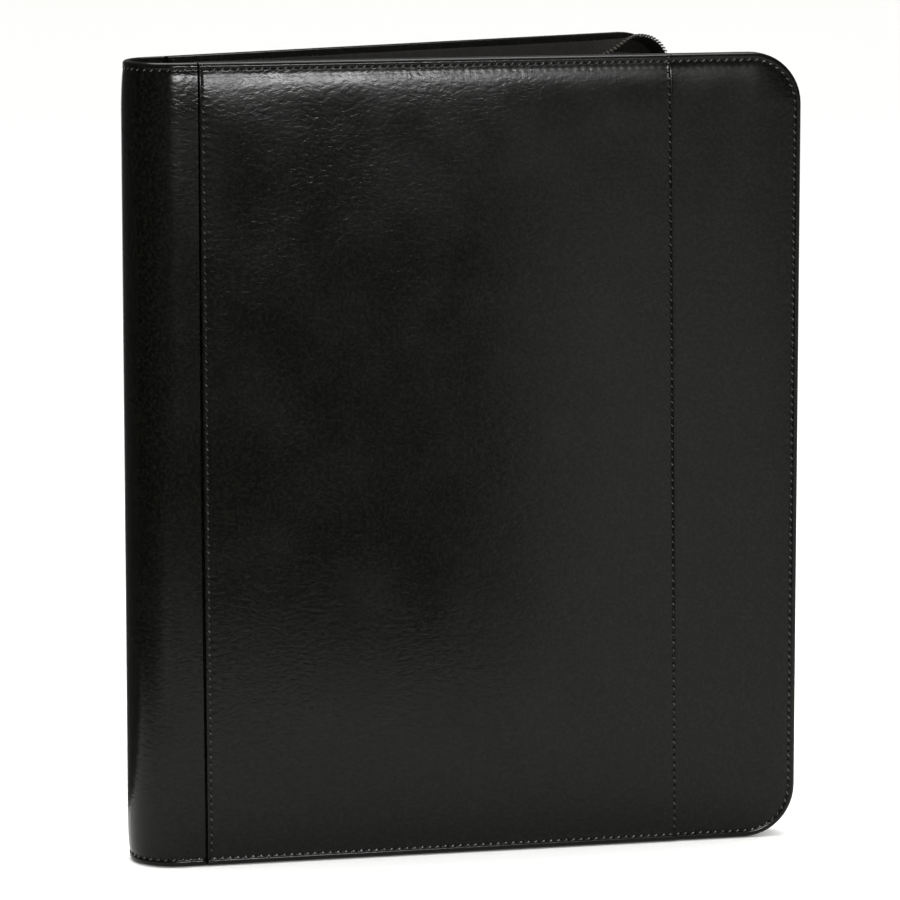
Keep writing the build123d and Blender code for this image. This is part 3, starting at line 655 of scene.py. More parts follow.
def raise_outer(bm, by):
    """Lifts the outer leather, and a share of its rolled edge, so that a panel stands proud."""
    for vert in bm.verts:
        if vert.co.z > PROUD_FOOT:
            vert.co.z += by * min(1, (vert.co.z - PROUD_FOOT) / PROUD_RISE)


print("seams lean by", round(FIRST_LOW - FIRST_HIGH, 1), "and", round(SECOND_LOW - SECOND_HIGH, 1), "mm")

# %% How far a point is along and beside its stitch line
EDGE_LINE, SEW_START, SEAM_END = 3.0, FIRST_LOW + 1, 5.0


def rim_measure(flat):
    """How far along the edge's stitch line a point of a cover is, and how far inside that line."""
    fore = COVER_WIDTH - CORNER
    radius = CORNER - EDGE_LINE
    arc = radius * math.pi / 2
    lower = fore - SEW_START
    out = flat.x - fore
    if out > 0 and flat.y < CORNER:
        down = CORNER - flat.y
        return lower + radius * math.atan2(out, down), radius - math.hypot(out, down)
    if out > 0 and flat.y > HEIGHT - CORNER:
        up = flat.y - HEIGHT + CORNER
        upper = lower + arc + HEIGHT - 2 * CORNER
        return upper + radius * math.atan2(up, out), radius - math.hypot(out, up)
    inside = {"low": flat.y, "fore": COVER_WIDTH - flat.x, "high": HEIGHT - flat.y}
    edge = min(inside, key=inside.get)
    run = {"low": flat.x - SEW_START, "fore": lower + arc + flat.y - CORNER,
           "high": lower + 2 * arc + HEIGHT - 2 * CORNER + fore - flat.x}[edge]
    return run, inside[edge] - EDGE_LINE


def first_seam_measure(flat):
    """How far up the stitch line of the first seam a point is, and how far beside that line."""
    return flat.y - SEAM_END, (flat - FIRST_POINT).dot(FIRST_NORMAL) - SEAM_STITCH


def seam_measure(flat):
    """The same for the nearer of the two seams of the front."""
    right = -(flat - SECOND_POINT).dot(SECOND_NORMAL) - SEAM_STITCH
    return flat.y - SEAM_END, min(first_seam_measure(flat)[1], right)


def spine_measure(flat):
    """The same for the stitch lines along both ends of the spine."""
    return flat.x - SPINE_START, min(flat.y, HEIGHT - flat.y) - EDGE_LINE


FAR_OFF = 50.0
NO_LINE = {"seam": lambda flat: (0.0, FAR_OFF)}
FLAT_WEAVE = {"weave": lambda flat: (flat.x, flat.y)}
print("stitch line", round(rim_measure(Vector((SEW_START, HEIGHT, 0)))[0]), "mm long round a cover")

# %% [markdown]
# ## The crown of the padding
# Foam lifts the leather between its stitched edges. It rises fast beside a stitch line and then levels
# out. The leather is drawn tight over its board, so moving the points of the mesh is enough, and no cloth
# simulation is run.

# %% Crown of the padding
CROWN, CROWN_REACH, CROWN_FOOT, CROWN_BLEND = 1.4, 7.5, 4.2, 6
SEAM_PULL, SEAM_LIFT = 2.0, 7.0
OUTER_FACE = -1.2
FIELDS_X = (11, 15, 20, 28, 40, 60, 90, 125, 160, 190, 216, 228, 238)
FIELDS_Y = (26, 34, 46, 64, 90, 130, 168, 206, 246, 272, 290, 302, 310)


def swell_from(inside):
    """Share of the padding's full height, that far inside a stitched edge."""
    return 1 - math.exp(-max(0.0, inside - CROWN_FOOT) / CROWN_REACH)


def crown(flat):
    """How high the padding lifts the leather: it rises from every edge and from the first seam."""
    near = [flat.y, HEIGHT - flat.y, COVER_WIDTH - flat.x]
    if flat.x > COVER_WIDTH - CORNER and min(near[:2]) < CORNER:
        near = [rim_measure(flat)[1] + EDGE_LINE]
    near.append((flat - FIRST_POINT).dot(FIRST_NORMAL) * SEAM_PULL + CROWN_FOOT + SEAM_LIFT)
    inside = sum(max(d, 0.1) ** -CROWN_BLEND for d in near) ** (-1 / CROWN_BLEND)
    return CROWN * swell_from(inside)


def pad_out(bm):
    """Cuts the broad face into fields and lifts its points by the crown of the padding."""
    for x in FIELDS_X:
        knife(bm, X_AXIS * x, X_AXIS)
    for y in FIELDS_Y:
        knife(bm, Y_AXIS * y, Y_AXIS)
    for vert in bm.verts:
        if vert.co.z > OUTER_FACE:
            vert.co.z += crown(vert.co)


print("crown in the middle", round(crown(Vector((COVER_WIDTH / 2, HEIGHT / 2, 0))), 2), "mm")

# %% Front and back leather
FILL = 0.8


def padded_panel(name, panel, side, material, nodes, sewn):
    """Pads a cut panel out and makes it a piece that says how full it is."""
    pad_out(panel)
    piece = make_piece(name, panel, cover_place(side), material, BODY[side], "cover_leather", nodes,
                       sewn=sewn)
    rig.padded(piece, fill=FILL)


centre = cover_slab()
raise_outer(centre, PROUD)
knife(centre, FIRST_POINT, FIRST_NORMAL, drop="inner", close=True)
knife(centre, SECOND_POINT, SECOND_NORMAL, drop="outer", close=True)
seam_groove(centre, FIRST_POINT, FIRST_NORMAL)
seam_groove(centre, SECOND_POINT, -SECOND_NORMAL)
fold_edge(centre, FIRST_POINT, FIRST_NORMAL)
fold_edge(centre, SECOND_POINT, SECOND_NORMAL)
padded_panel("front_centre_leather", centre, FRONT, leather, ["front_centre_panel", "front_foam"],
             {"rim": rim_measure, "seam": seam_measure})

strip = cover_slab()
knife(strip, SECOND_POINT, SECOND_NORMAL, drop="inner", close=True)
padded_panel("front_edge_leather", strip, FRONT, smooth_leather, ["front_edge_panel"],
             {"rim": rim_measure, **NO_LINE})

back = cover_slab()
raise_outer(back, PROUD)
knife(back, FIRST_POINT, FIRST_NORMAL, drop="inner", close=True)
seam_groove(back, FIRST_POINT, FIRST_NORMAL)
fold_edge(back, FIRST_POINT, FIRST_NORMAL)
padded_panel("back_leather", back, BACK, leather, ["back_panel", "back_foam"],
             {"rim": rim_measure, "seam": first_seam_measure})

# %% [markdown]
# ## The spine
# One piece of leather runs from the front seam round the spine to the back. It is modelled flat like
# the covers and then wrapped round the spine's section. It is made in two halves, because each half
# bends between the spine and one cover when the case opens.

# %% The line that the spine leather follows
SPINE_X, SPINE_ACROSS, SPINE_HALF = HINGE_X - 0.9, 18.1, 19.0
LINE_END, EASING, RING_STEPS, FLAT_STEP = 9.0, 140, 80, 0.5


def spine_line():
    """Points of the outer face, from the middle of the spine to the front seam, evenly spaced and eased."""
    turns = [i * math.pi / 2 / RING_STEPS for i in range(RING_STEPS + 1)]
    ring = [Vector((SPINE_X - SPINE_ACROSS * math.cos(a), -SPINE_HALF * math.sin(a))) for a in turns]
    stand = cover_place(FRONT)
    steps = range(1, int(LINE_END / FLAT_STEP) + 1)
    line = ring + [(stand @ Vector((i * FLAT_STEP, 0, 0)) / MM).to_2d() for i in steps]
    for _ in range(EASING):
        middle = Vector(((line[0].x + line[1].x) / 2, 0))
        line = [middle] + [(a + 2 * b + c) / 4 for a, b, c in zip(line, line[1:], line[2:])] + [line[-1]]
    return line


LINE = spine_line()
LENGTHS = [0.0]
for a, b in zip(LINE, LINE[1:]):
    LENGTHS.append(LENGTHS[-1] + (b - a).length)
SPINE_START = LINE_END - LENGTHS[-1]


def wrap(side):
    """Function that takes a flat point to its place round the spine, for the front or the back half."""
    def place(flat):
        far = flat.x - SPINE_START
        after = next((i for i, length in enumerate(LENGTHS) if length > far), len(LINE))
        index = max(0, min(len(LINE) - 2, after - 1))
        run = (LINE[index + 1] - LINE[index]).normalized()
        spot = LINE[index] + run * (far - LENGTHS[index])
        before = (LINE[index] - LINE[max(0, index - 1)]).normalized() if index else Vector((0, -1))
        share = (far - LENGTHS[index]) / (LENGTHS[index + 1] - LENGTHS[index])
        turned = before.lerp(run, max(0, min(1, share + 0.5))).normalized()
        spot = spot + Vector((turned.y, -turned.x)) * flat.z
        return Vector((spot.x, -side * spot.y, flat.y)) * MM
    return place


BEND_FROM, BEND_TO, SPINE_STEP = -3.5, 4.6, 1.6


def cut_across(bm, end):
    """Cuts a flat piece into strips between the middle of the spine and `end`, so that it can bend."""
    for i in range(1, int((end - SPINE_START) / SPINE_STEP)):
        knife(bm, X_AXIS * (SPINE_START + i * SPINE_STEP), X_AXIS)


def bends_at_hinge(piece, side):
    """Shares a piece between the spine and one cover, so that it bends along the hinge."""
    place = wrap(side)
    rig.blend(piece, "spine", BODY[side], start=place(Vector((BEND_FROM, 0, 0))),
             end=place(Vector((BEND_TO, 0, 0))))


print("spine leather from", round(SPINE_START, 1), "mm before the hinge to the seam")

# %% Spine leather, front and back half
SPINE_ROLL = [(0.01, -1.7), (0.3, -2.2), (0.8, -2.5), (HEM, -2.5), (HEM + 0.3, -2.1)]
# Past BOARD_START the leather lies over the cover's board, so its inner side drops by BOARD_DROP.
BOARD_START, BOARD_DROP, INNER_FACE = 5.2, 3.0, -1.65
DIP_WIDTH, DIP_DEPTH = 1.2, 0.9
SPINE_CROWN, LONG = 0.9, 160
for side in (FRONT, BACK):
    half = rolled_slab((-LONG, 0), (LONG, HEIGHT), OUTER, SPINE_ROLL)
    knife(half, X_AXIS * SPINE_START, X_AXIS, drop="inner", close=True)
    knife(half, FIRST_POINT, FIRST_NORMAL, drop="outer", close=True)
    knife(half, X_AXIS * (BOARD_START - 0.02), X_AXIS)
    knife(half, X_AXIS * BOARD_START, X_AXIS)
    for vert in half.verts:
        if vert.co.x > BOARD_START - 0.01 and vert.co.z < INNER_FACE:
            vert.co.z -= BOARD_DROP
    for vert in half.verts:
        if vert.co.z > OUTER_FACE:
            vert.co.z += SPINE_CROWN * swell_from(min(vert.co.y, HEIGHT - vert.co.y))
    knife(half, FIRST_POINT - FIRST_NORMAL * DIP_WIDTH, FIRST_NORMAL)
    for vert in half.verts:
        if (vert.co - FIRST_POINT).dot(FIRST_NORMAL) > -0.01 and vert.co.z > -1.0:
            vert.co.z -= DIP_DEPTH
    cut_across(half, BOARD_START)
    piece = make_piece(SIDE_NAME[side] + "_spine_leather", half, wrap(side), leather, None, "cover_leather",
                       ["spine_leather", SIDE_NAME[side] + "_hinge_panel"],
                       sewn={"rim": spine_measure, **NO_LINE})
    bends_at_hinge(piece, side)

# %% [markdown]
# ## Stitches
# Every edge and seam is topstitched with black thread, about eight stitches to the inch. A stitch is a
# small stretched ball that sinks into its groove at both ends. They are placed by walking along a line
# inside the edge: lower run, corner, fore edge, corner, upper run.


# %% Walking along an edge
def rim_walk(inset, low, start, pitch, end=None):
    """Places along a line inside a cover's edge, evenly spaced from the lower start to the upper end."""
    r_low, r_high = CORNER - low, CORNER - inset
    fore = COVER_WIDTH - inset
    runs = [fore - r_low - start, r_low * math.pi / 2, HEIGHT - 2 * CORNER, r_high * math.pi / 2,
            COVER_WIDTH - CORNER - (start if end is None else end)]
    places = []
    for i in range(int(sum(runs) / pitch)):
        far = (i + 0.5) * pitch
        leg = 0
        while far > runs[leg]:
            far -= runs[leg]
            leg += 1
        if leg == 0:
            places.append((Vector((start + far, low, 0)), 0.0))
        elif leg == 1:
            turn = far / r_low
            centre_at = Vector((fore - r_low, CORNER, 0))
            places.append((centre_at + Vector((math.sin(turn), -math.cos(turn), 0)) * r_low, turn))
        elif leg == 2:
            places.append((Vector((fore, CORNER + far, 0)), math.pi / 2))
        elif leg == 3:
            turn = far / r_high
            centre_at = Vector((COVER_WIDTH - CORNER, HEIGHT - CORNER, 0))
            spoke = Vector((math.cos(turn), math.sin(turn), 0))
            places.append((centre_at + spoke * r_high, turn + math.pi / 2))
        else:
            places.append((Vector((COVER_WIDTH - CORNER - far, HEIGHT - inset, 0)), math.pi))
    return places


def line_walk(a, b, pitch):
    """Places along a straight line."""
    a, b = Vector((*a, 0)), Vector((*b, 0))
    count = max(1, int((b - a).length / pitch))
    return [(a.lerp(b, (i + 0.5) / count), math.atan2(b.y - a.y, b.x - a.x)) for i in range(count)]


def seam_walk(point, normal):
    """Places of the stitches beside a folded seam."""
    foot = point + normal * SEAM_STITCH
    lean = Vector((-normal.y, normal.x, 0)) / normal.x
    low, high = foot + lean * SEAM_END, foot + lean * (HEIGHT - SEAM_END)
    return line_walk(low.to_2d(), high.to_2d(), STITCH_PITCH)


print(len(rim_walk(EDGE_LINE, EDGE_LINE, SEW_START, STITCH_PITCH)), "stitches round each cover")

# %% Sewing
STITCH_LENGTH, STITCH_THICK = 1.8, 0.64
SEAM_LENGTH, SEAM_THICK = 1.45, 0.52
STITCH_SLANT, EDGE_SUNK, SEAM_SUNK = 0.7, 0.15, 0.2


def small_ball(name, around, along):
    """The mesh of a small ball with its poles on x, to be repeated many times."""
    ball = bmesh.new()
    bmesh.ops.create_uvsphere(ball, u_segments=around, v_segments=along, radius=1,
                              matrix=Matrix.Rotation(math.pi / 2, 4, "Y"))
    mesh = bpy.data.meshes.new(name)
    ball.to_mesh(mesh)
    ball.free()
    return mesh


def repeat(bm, shape, lie):
    """Adds a copy of a small mesh to a bmesh, turned and placed by a matrix."""
    copy = shape.copy()
    copy.transform(lie)
    bm.from_mesh(copy)
    bpy.data.meshes.remove(copy)


STITCH = small_ball("stitch", 7, 6)


def sew(bm, places, level, length=STITCH_LENGTH, thick=STITCH_THICK):
    """A stitch at every place, turned a little across the line as a lockstitch lies."""
    for spot, angle in places:
        high = level(spot) if callable(level) else level
        turn = Matrix.Rotation(angle + STITCH_SLANT, 4, "Z")
        size = Matrix.Diagonal((length / 2, thick / 2, thick / 2, 1))
        repeat(bm, STITCH, Matrix.Translation(spot + Vector((0, 0, high))) @ turn @ size)


def on_padding(spot):
    """Height of a stitch in the groove of a folded seam, on top of the padding."""
    return crown(spot) + PROUD - SEAM_SUNK


print("a stitch is", STITCH_LENGTH, "mm long, in a seam", SEAM_LENGTH)

# %% Stitches of the covers and the spine
for side in (FRONT, BACK):
    rows = bmesh.new()
    sew(rows, rim_walk(EDGE_LINE, EDGE_LINE, SEW_START, STITCH_PITCH),
        lambda spot: (0.0 if side == FRONT and spot.x > SECOND_HIGH else PROUD) - EDGE_SUNK)
    make_piece(SIDE_NAME[side] + "_edge_stitches", rows, cover_place(side), thread, BODY[side], "zip_tape")
    rows = bmesh.new()
    sew(rows, seam_walk(FIRST_POINT, FIRST_NORMAL), on_padding, SEAM_LENGTH, SEAM_THICK)
    if side == FRONT:
        sew(rows, seam_walk(SECOND_POINT, -SECOND_NORMAL), on_padding, SEAM_LENGTH, SEAM_THICK)
    make_piece(SIDE_NAME[side] + "_seam_stitches", rows, cover_place(side), thread, BODY[side], "zip_tape")
    rows = bmesh.new()
    for level in (EDGE_LINE, HEIGHT - EDGE_LINE):
        sew(rows, line_walk((SPINE_START, level), (FIRST_HIGH - 0.5, level), STITCH_PITCH), -SEAM_SUNK)
    piece = make_piece(SIDE_NAME[side] + "_spine_stitches", rows, wrap(side), thread, None, "zip_tape")
    bends_at_hinge(piece, side)

# %% [markdown]
# ## The zipper
# Each cover carries half of a coil zipper along its three open sides: a woven tape sewn under the hem,
# and a nylon coil on its free edge. The case is unzipped, so along the upper run the tape falls inwards
# under its own weight; the bend of the corner keeps it standing there. The stops at the upper ends hang
# with it, so they are made again here in the boxes of the CAD stops.

# %% How the tape hangs
TAPE_INSET, TAPE_LOW, TAPE_START = 2.5, 7.0, 3.0
FOLD_DEPTH, TAPE_END, COIL_TIP = 6.2, 16.4, 18.1
DROOP, DROOP_CORNER, DROOP_RUN = math.radians(48), COVER_WIDTH - CORNER, 24.0
DROOP_FROM, DROOP_EASE, TAPE_BEND = 4, 30, 22.0
FLARE = {FRONT: 0.0, BACK: math.radians(9)}


def ease(share):
    """A soft step from 0 to 1."""
    share = max(0.0, min(1.0, share))
    return share * share * (3 - 2 * share)


def droop(flat, flare):
    """Turns the free part of the upper tape down about its sewn fold, and flares it round the corner."""
    reach = -flat.z - FOLD_DEPTH
    if flat.y < HEIGHT - CORNER or reach <= 0:
        return flat
    if flat.x > COVER_WIDTH - CORNER:
        spoke = Vector((flat.x - COVER_WIDTH + CORNER, flat.y - HEIGHT + CORNER, 0)).normalized()
        return flat + spoke * reach * math.sin(flare * ease(2 * spoke.y - 1))
    standing = ease((DROOP_CORNER - flat.x) / DROOP_RUN)
    angle = (DROOP * standing - flare * (1 - standing)) * ease((flat.x - DROOP_FROM) / DROOP_EASE)
    under = HEIGHT - TAPE_INSET - flat.y
    return Vector((flat.x, HEIGHT - TAPE_INSET - under * math.cos(angle) - reach * math.sin(angle),
                   -FOLD_DEPTH - reach * math.cos(angle) + under * math.sin(angle)))


print("the open tape turns down by", round(math.degrees(DROOP)), "degrees along the head")

# %% Carrying a section round a cover
RUN_STEP, TURN_STEPS = 4.0, 10


def extrude_step(bm, edges, move):
    """Extrudes edges by one step and returns the new edges."""
    made = bmesh.ops.extrude_edge_only(bm, edges=edges)["geom"]
    new = [g for g in made if isinstance(g, bmesh.types.BMVert)]
    bmesh.ops.translate(bm, vec=move, verts=new)
    known = set(new)
    return [g for g in made if isinstance(g, bmesh.types.BMEdge) and known.issuperset(g.verts)]


def sweep(section, start):
    """Carries an open section round a cover's edge: extrude, spin, extrude, spin, extrude."""
    bm = bmesh.new()
    verts = [bm.verts.new((start, TAPE_LOW + n, -depth)) for n, depth in section]
    edges = [bm.edges.new(pair) for pair in zip(verts, verts[1:])]
    low_centre = Vector((COVER_WIDTH - TAPE_INSET - CORNER + TAPE_LOW, CORNER, 0))
    high_centre = Vector((COVER_WIDTH - CORNER, HEIGHT - CORNER, 0))

    def run(edges, direction, length):
        """Extrudes straight on, in even steps."""
        count = max(1, round(length / RUN_STEP))
        for _ in range(count):
            edges = extrude_step(bm, edges, direction * (length / count))
        return edges

    def turn(edges, centre_at):
        """Spins a quarter turn round a corner."""
        geom = edges + list({v for e in edges for v in e.verts})
        last = bmesh.ops.spin(bm, geom=geom, cent=centre_at, axis=(0, 0, 1), dvec=(0, 0, 0),
                              angle=math.pi / 2, steps=TURN_STEPS)["geom_last"]
        return [g for g in last if isinstance(g, bmesh.types.BMEdge)]

    edges = turn(run(edges, X_AXIS, low_centre.x - start), low_centre)
    edges = turn(run(edges, Y_AXIS, HEIGHT - 2 * CORNER), high_centre)
    run(edges, -X_AXIS, high_centre.x - start)
    bmesh.ops.remove_doubles(bm, verts=bm.verts, dist=WELD)
    bmesh.ops.recalc_face_normals(bm, faces=bm.faces)
    return bm


# The section says how far inside the cover's edge the tape is, and how deep.
TAPE_SECTION = [(6.0, 5.75), (3.0, 5.75), (1.2, 5.8), (0.4, 6.1), (0.05, 6.8), (0.0, 8.0), (0.0, 10.0),
                (0.0, 12.0), (0.0, 14.0), (0.0, TAPE_END)]
print("tape section of", len(TAPE_SECTION), "points")

# %% Tapes and coils
TAPE_THICK, CLIP_ROUND = 0.45, 0.3
COIL_PITCH, ROW_START, ROW_END = 1.6, 20.0, 7.0
COIL_SIZE, COIL_TILT, COIL_OUT = (1.2, 0.55, 0.36), 0.12, 0.1
COIL_TURN = small_ball("coil_turn", 6, 6)


def hung(side):
    """Place of a zipper piece: hung first, then stood up with its cover."""
    stand = cover_place(side)
    return lambda flat: stand @ droop(flat, FLARE[side])


def held_at_spine(piece, side):
    """The ends of a zipper half are held at the spine, so near the hinge it bends when the cover opens."""
    stand = cover_place(side)
    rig.blend(piece, "spine", BODY[side], start=stand @ Vector((TAPE_START, 0, -COIL_TIP)),
             end=stand @ Vector((TAPE_START + TAPE_BEND, 0, -COIL_TIP)))


for side in (FRONT, BACK):
    name = SIDE_NAME[side]
    tape = sweep(TAPE_SECTION, TAPE_START)
    bmesh.ops.solidify(tape, geom=tape.faces[:], thickness=TAPE_THICK)
    piece = make_piece(name + "_tape", tape, hung(side), tape_cloth, None, "zip_tape", [name + "_zip_tape"],
                       sewn={"weave": lambda flat: (rim_measure(flat)[0], flat.z)})
    held_at_spine(piece, side)
    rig.sheet(piece, flat=(0.0170, 0.83), held="hung", rests_on=[name + "_lining"])
    row = bmesh.new()
    phase = 0.0 if side == FRONT else COIL_PITCH / 2
    tilt = Matrix.Rotation(math.pi / 2 + COIL_TILT, 4, "Y") @ Matrix.Diagonal((*COIL_SIZE, 1))
    for spot, angle in rim_walk(TAPE_INSET - TAPE_THICK, TAPE_LOW - TAPE_THICK, ROW_START + phase,
                                COIL_PITCH, ROW_END):
        at = spot + Vector((0, 0, -(TAPE_END + COIL_OUT)))
        repeat(row, COIL_TURN, Matrix.Translation(at) @ Matrix.Rotation(angle, 4, "Z") @ tilt)
    piece = make_piece(name + "_coil", row, hung(side), coil_nylon, None, "zip_coil", [name + "_zip_coil"])
    held_at_spine(piece, side)
    lying = [cover_place(side).inverted() @ v.co for v in frame["nodes"][name + "_top_stop"].data.vertices]
    low = Vector([min(v[axis] for v in lying) for axis in range(3)])
    high = Vector([max(v[axis] for v in lying) for axis in range(3)])
    clip = bmesh.new()
    box = Matrix.Translation((low + high) / 2) @ Matrix.Diagonal((*(high - low), 1))
    bmesh.ops.create_cube(clip, size=1, matrix=box)
    bmesh.ops.bevel(clip, geom=clip.edges[:], offset=CLIP_ROUND, offset_type="OFFSET", segments=3,
                    profile=0.5, affect="EDGES", material=-1)
    print(name, "top stop", [round(c, 1) for c in low], [round(c, 1) for c in high])
    piece = make_piece(name + "_top_clip", clip, hung(side), black_enamel, None, "zip_coil",
                       [name + "_top_stop"])
    held_at_spine(piece, side)

# %% Tails of the zipper in the spine
for name in ("upper_zip_tail", "lower_zip_tail"):
    low, high = (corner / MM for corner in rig.box(name))
    tail = rolled_slab((low.x, low.y), (high.x, high.y), [(0, 0.3), (0.15, 0.55), (0.4, 0.6)],
                       [(0.05, 0.05), (0.3, 0.0)])
    lift = Matrix.Scale(MM, 4) @ Matrix.Translation((0, 0, low.z))
    make_piece(name.replace("_zip", "") + "_tape", tail, lift, tape_cloth, "spine", "zip_tape", [name],
               sewn=FLAT_WEAVE)

# %% [markdown]
# ## Linings
# Inside, a plain woven nylon covers the boards and the spine. It is glued flat, so it is modelled as a
# thin slab with a soft rim.

# %% Linings of the covers and the spine
MIRROR = Matrix.Diagonal((1, 1, -1, 1))
LINING_START, LINING_AT, LINING_FOLD = 4.4, 5.25, 3.2


def inside_place(side, depth):
    """Place of a flat piece inside a cover, its visible face at `depth` and z pointing into the case."""
    return cover_place(side) @ Matrix.Translation((0, 0, -depth)) @ MIRROR


for side in (FRONT, BACK):
    name = SIDE_NAME[side]
    edge = HEM - 0.6
    cloth = rolled_slab((LINING_START, edge), (COVER_WIDTH - edge, HEIGHT - edge),
                        [(0, -0.25), (0.1, -0.05), (0.4, 0.0), (6.0, 0.03)], [(0.01, -0.4), (0.3, -0.5)],
                        CORNER - edge)
    fold = [v for v in cloth.verts if v.co.x < LINING_START + 0.35 and v.co.z < -0.2]
    bmesh.ops.translate(cloth, vec=(0, 0, -LINING_FOLD), verts=fold)
    piece = make_piece(name + "_lining_cloth", cloth, inside_place(side, LINING_AT), lining_cloth,
                       BODY[side], "lining_cloth", [name + "_lining"], sewn=FLAT_WEAVE)
    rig.sheet(piece, flat=(0.254, 0.323), held="stretched", rests_on=[name + "_board"])
    cloth = rolled_slab((SPINE_START, HEM - 0.8), (LINING_START + 0.6, HEIGHT - HEM + 0.8),
                        [(0, -2.8), (0.1, -2.5), (0.3, -2.4)], [(0.05, -3.1), (0.3, -3.3)])
    cut_across(cloth, LINING_START)
    piece = make_piece(name + "_spine_lining", cloth, wrap(side), lining_cloth, None, "lining_cloth",
                       ["spine_lining"], sewn=FLAT_WEAVE)
    bends_at_hinge(piece, side)
    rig.sheet(piece, flat=(0.034, 0.322), held="stretched", rests_on=["spine_stiffener"])

# %% [markdown]
# ## Organiser, sleeve and pen loop
# The inside is furnished with flat pockets of thinner leather, hemmed and sewn on three sides.

# %% Sewn pockets
POCKET_SEAM, POCKET_THREAD, POCKET_SUNK = 3, 0.5, 0.05
HEMMED = [(0, -0.45), (0.12, -0.15), (0.45, 0.0), (2.2, 0.0), (2.6, -0.12), (3.0, -0.16), (3.4, -0.12),
          (3.8, 0.0)]
HEMMED_UNDER = [(0.05, -0.6), (0.3, -0.75)]
# Name, cover, depth of the visible face, two corners on the cover and radius of the upper corners.
POCKETS = (
    ("document_pocket", FRONT, 7.2, (14, 12), (248, 210), 8),
    ("inner_card_pocket", FRONT, 8.1, (134, 30), (238, 92), 4),
    ("middle_card_pocket", FRONT, 8.9, (134, 30), (238, 78), 4),
    ("outer_card_pocket", FRONT, 9.7, (134, 30), (238, 64), 4),
    ("pad_sleeve", BACK, 7.45, (26.5, 19.5), (251.4, 149.5), 6),
)
for name, side, depth, low, high, corner in POCKETS:
    panel = rolled_slab(low, high, HEMMED, HEMMED_UNDER, corner, at="top")
    piece = make_piece(name + "_leather", panel, inside_place(side, depth), pocket_leather, BODY[side],
                       "pocket_leather", [name])
    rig.sheet(piece, flat=((high[0] - low[0]) * MM, (high[1] - low[1]) * MM), held="laid",
             rests_on=[SIDE_NAME[side] + "_lining_cloth"])
    rows = bmesh.new()
    left, right = low[0] + POCKET_SEAM, high[0] - POCKET_SEAM
    foot, head = low[1] + POCKET_SEAM, high[1] - POCKET_SEAM
    for a, b in (((left, head), (left, foot)), ((left, foot), (right, foot)), ((right, foot), (right, head)),
                 ((low[0] + corner, head), (high[0] - corner, head))):
        sew(rows, line_walk(a, b, STITCH_PITCH), -POCKET_SUNK, thick=POCKET_THREAD)
    make_piece(name + "_stitches", rows, inside_place(side, depth), thread, BODY[side], "zip_tape")

# %% Edging under the pockets, and the pen loop
for name, side, depth, low, high, strip_width, thick in (
        ("document_pocket_edging", FRONT, 6.2, (14, 12), (248, 202), 5, 0.7),
        ("pad_sleeve_edging", BACK, 6.65, (26.5, 19.5), (251.4, 143.5), 4, 1.15)):
    joined = bpy.data.meshes.new("strips")
    frame_strips = bmesh.new()
    for a, b in ((low, (low[0] + strip_width, high[1])), ((high[0] - strip_width, low[1]), high),
                 ((low[0] + strip_width, low[1]), (high[0] - strip_width, low[1] + strip_width))):
        strip = rolled_slab(a, b, [(0, -0.3), (0.1, -0.1), (0.3, 0.0)], [(0.05, -thick + 0.2), (0.2, -thick)])
        strip.to_mesh(joined)
        strip.free()
        frame_strips.from_mesh(joined)
    bpy.data.meshes.remove(joined)
    make_piece(name + "_leather", frame_strips, inside_place(side, depth), pocket_leather, BODY[side],
               "pocket_leather", [name])

PEN_AT, PEN_RADIUS, ELASTIC_THICK = Vector((18, 155.5, 6.8)), 6.0, 0.8
LOOP_STEP, LOOP_STEPS = 5, 5
loop = bmesh.new()
bmesh.ops.create_circle(loop, segments=32, radius=PEN_RADIUS, matrix=Matrix.Rotation(math.pi / 2, 4, "X"))
bmesh.ops.translate(loop, vec=PEN_AT, verts=loop.verts)
edges = loop.edges[:]
for _ in range(LOOP_STEPS):
    edges = extrude_step(loop, edges, Y_AXIS * LOOP_STEP)
bmesh.ops.recalc_face_normals(loop, faces=loop.faces)
bmesh.ops.solidify(loop, geom=loop.faces[:], thickness=ELASTIC_THICK)


def round_loop(flat):
    """How far round the pen loop a point is, and how far along it."""
    return math.atan2(flat.z - PEN_AT.z, flat.x - PEN_AT.x) * PEN_RADIUS, flat.y


make_piece("pen_loop_elastic", loop, inside_place(BACK, COVER_DEPTH), elastic_cloth, BODY[BACK], "elastic",
           ["pen_loop"], sewn={"weave": round_loop})

# %% [markdown]
# ## Metal, boards and paper
# The slider, its pull, the lower stop, the boards and the writing pad keep their CAD shapes and only get
# their finish: nickel plate with fine rubbing marks, grey board with fibres, and a ruled pad of bond
# paper whose cut edges show the sheets as fine lines.


# %% Nickel and board
def nickel_plate(name):
    """Plated zinc casting: bright, a little uneven from polishing, with fine rubbing marks."""
    made, tree, shader, where = new_material(name)
    polish = node(tree, "TexNoise", {"Vector": where, "Scale": METRE / 5, "Detail": 3.0})
    drawn = node(tree, "Mapping", {"Vector": where, "Scale": (METRE / 8, METRE / 8, METRE / 0.5)})
    rubs = node(tree, "TexNoise", {"Vector": drawn, "Scale": 1.0, "Detail": 2.0})
    rough = node(tree, "MapRange", {"Value": polish, "From Min": 0.3, "From Max": 0.7,
                                    "To Min": 0.16, "To Max": 0.34})
    dress(tree, shader, rubs, (polish, "#a8a59d", "#c9c6be"), rough.outputs[0], rise=0.02, Metallic=1.0)
    return made


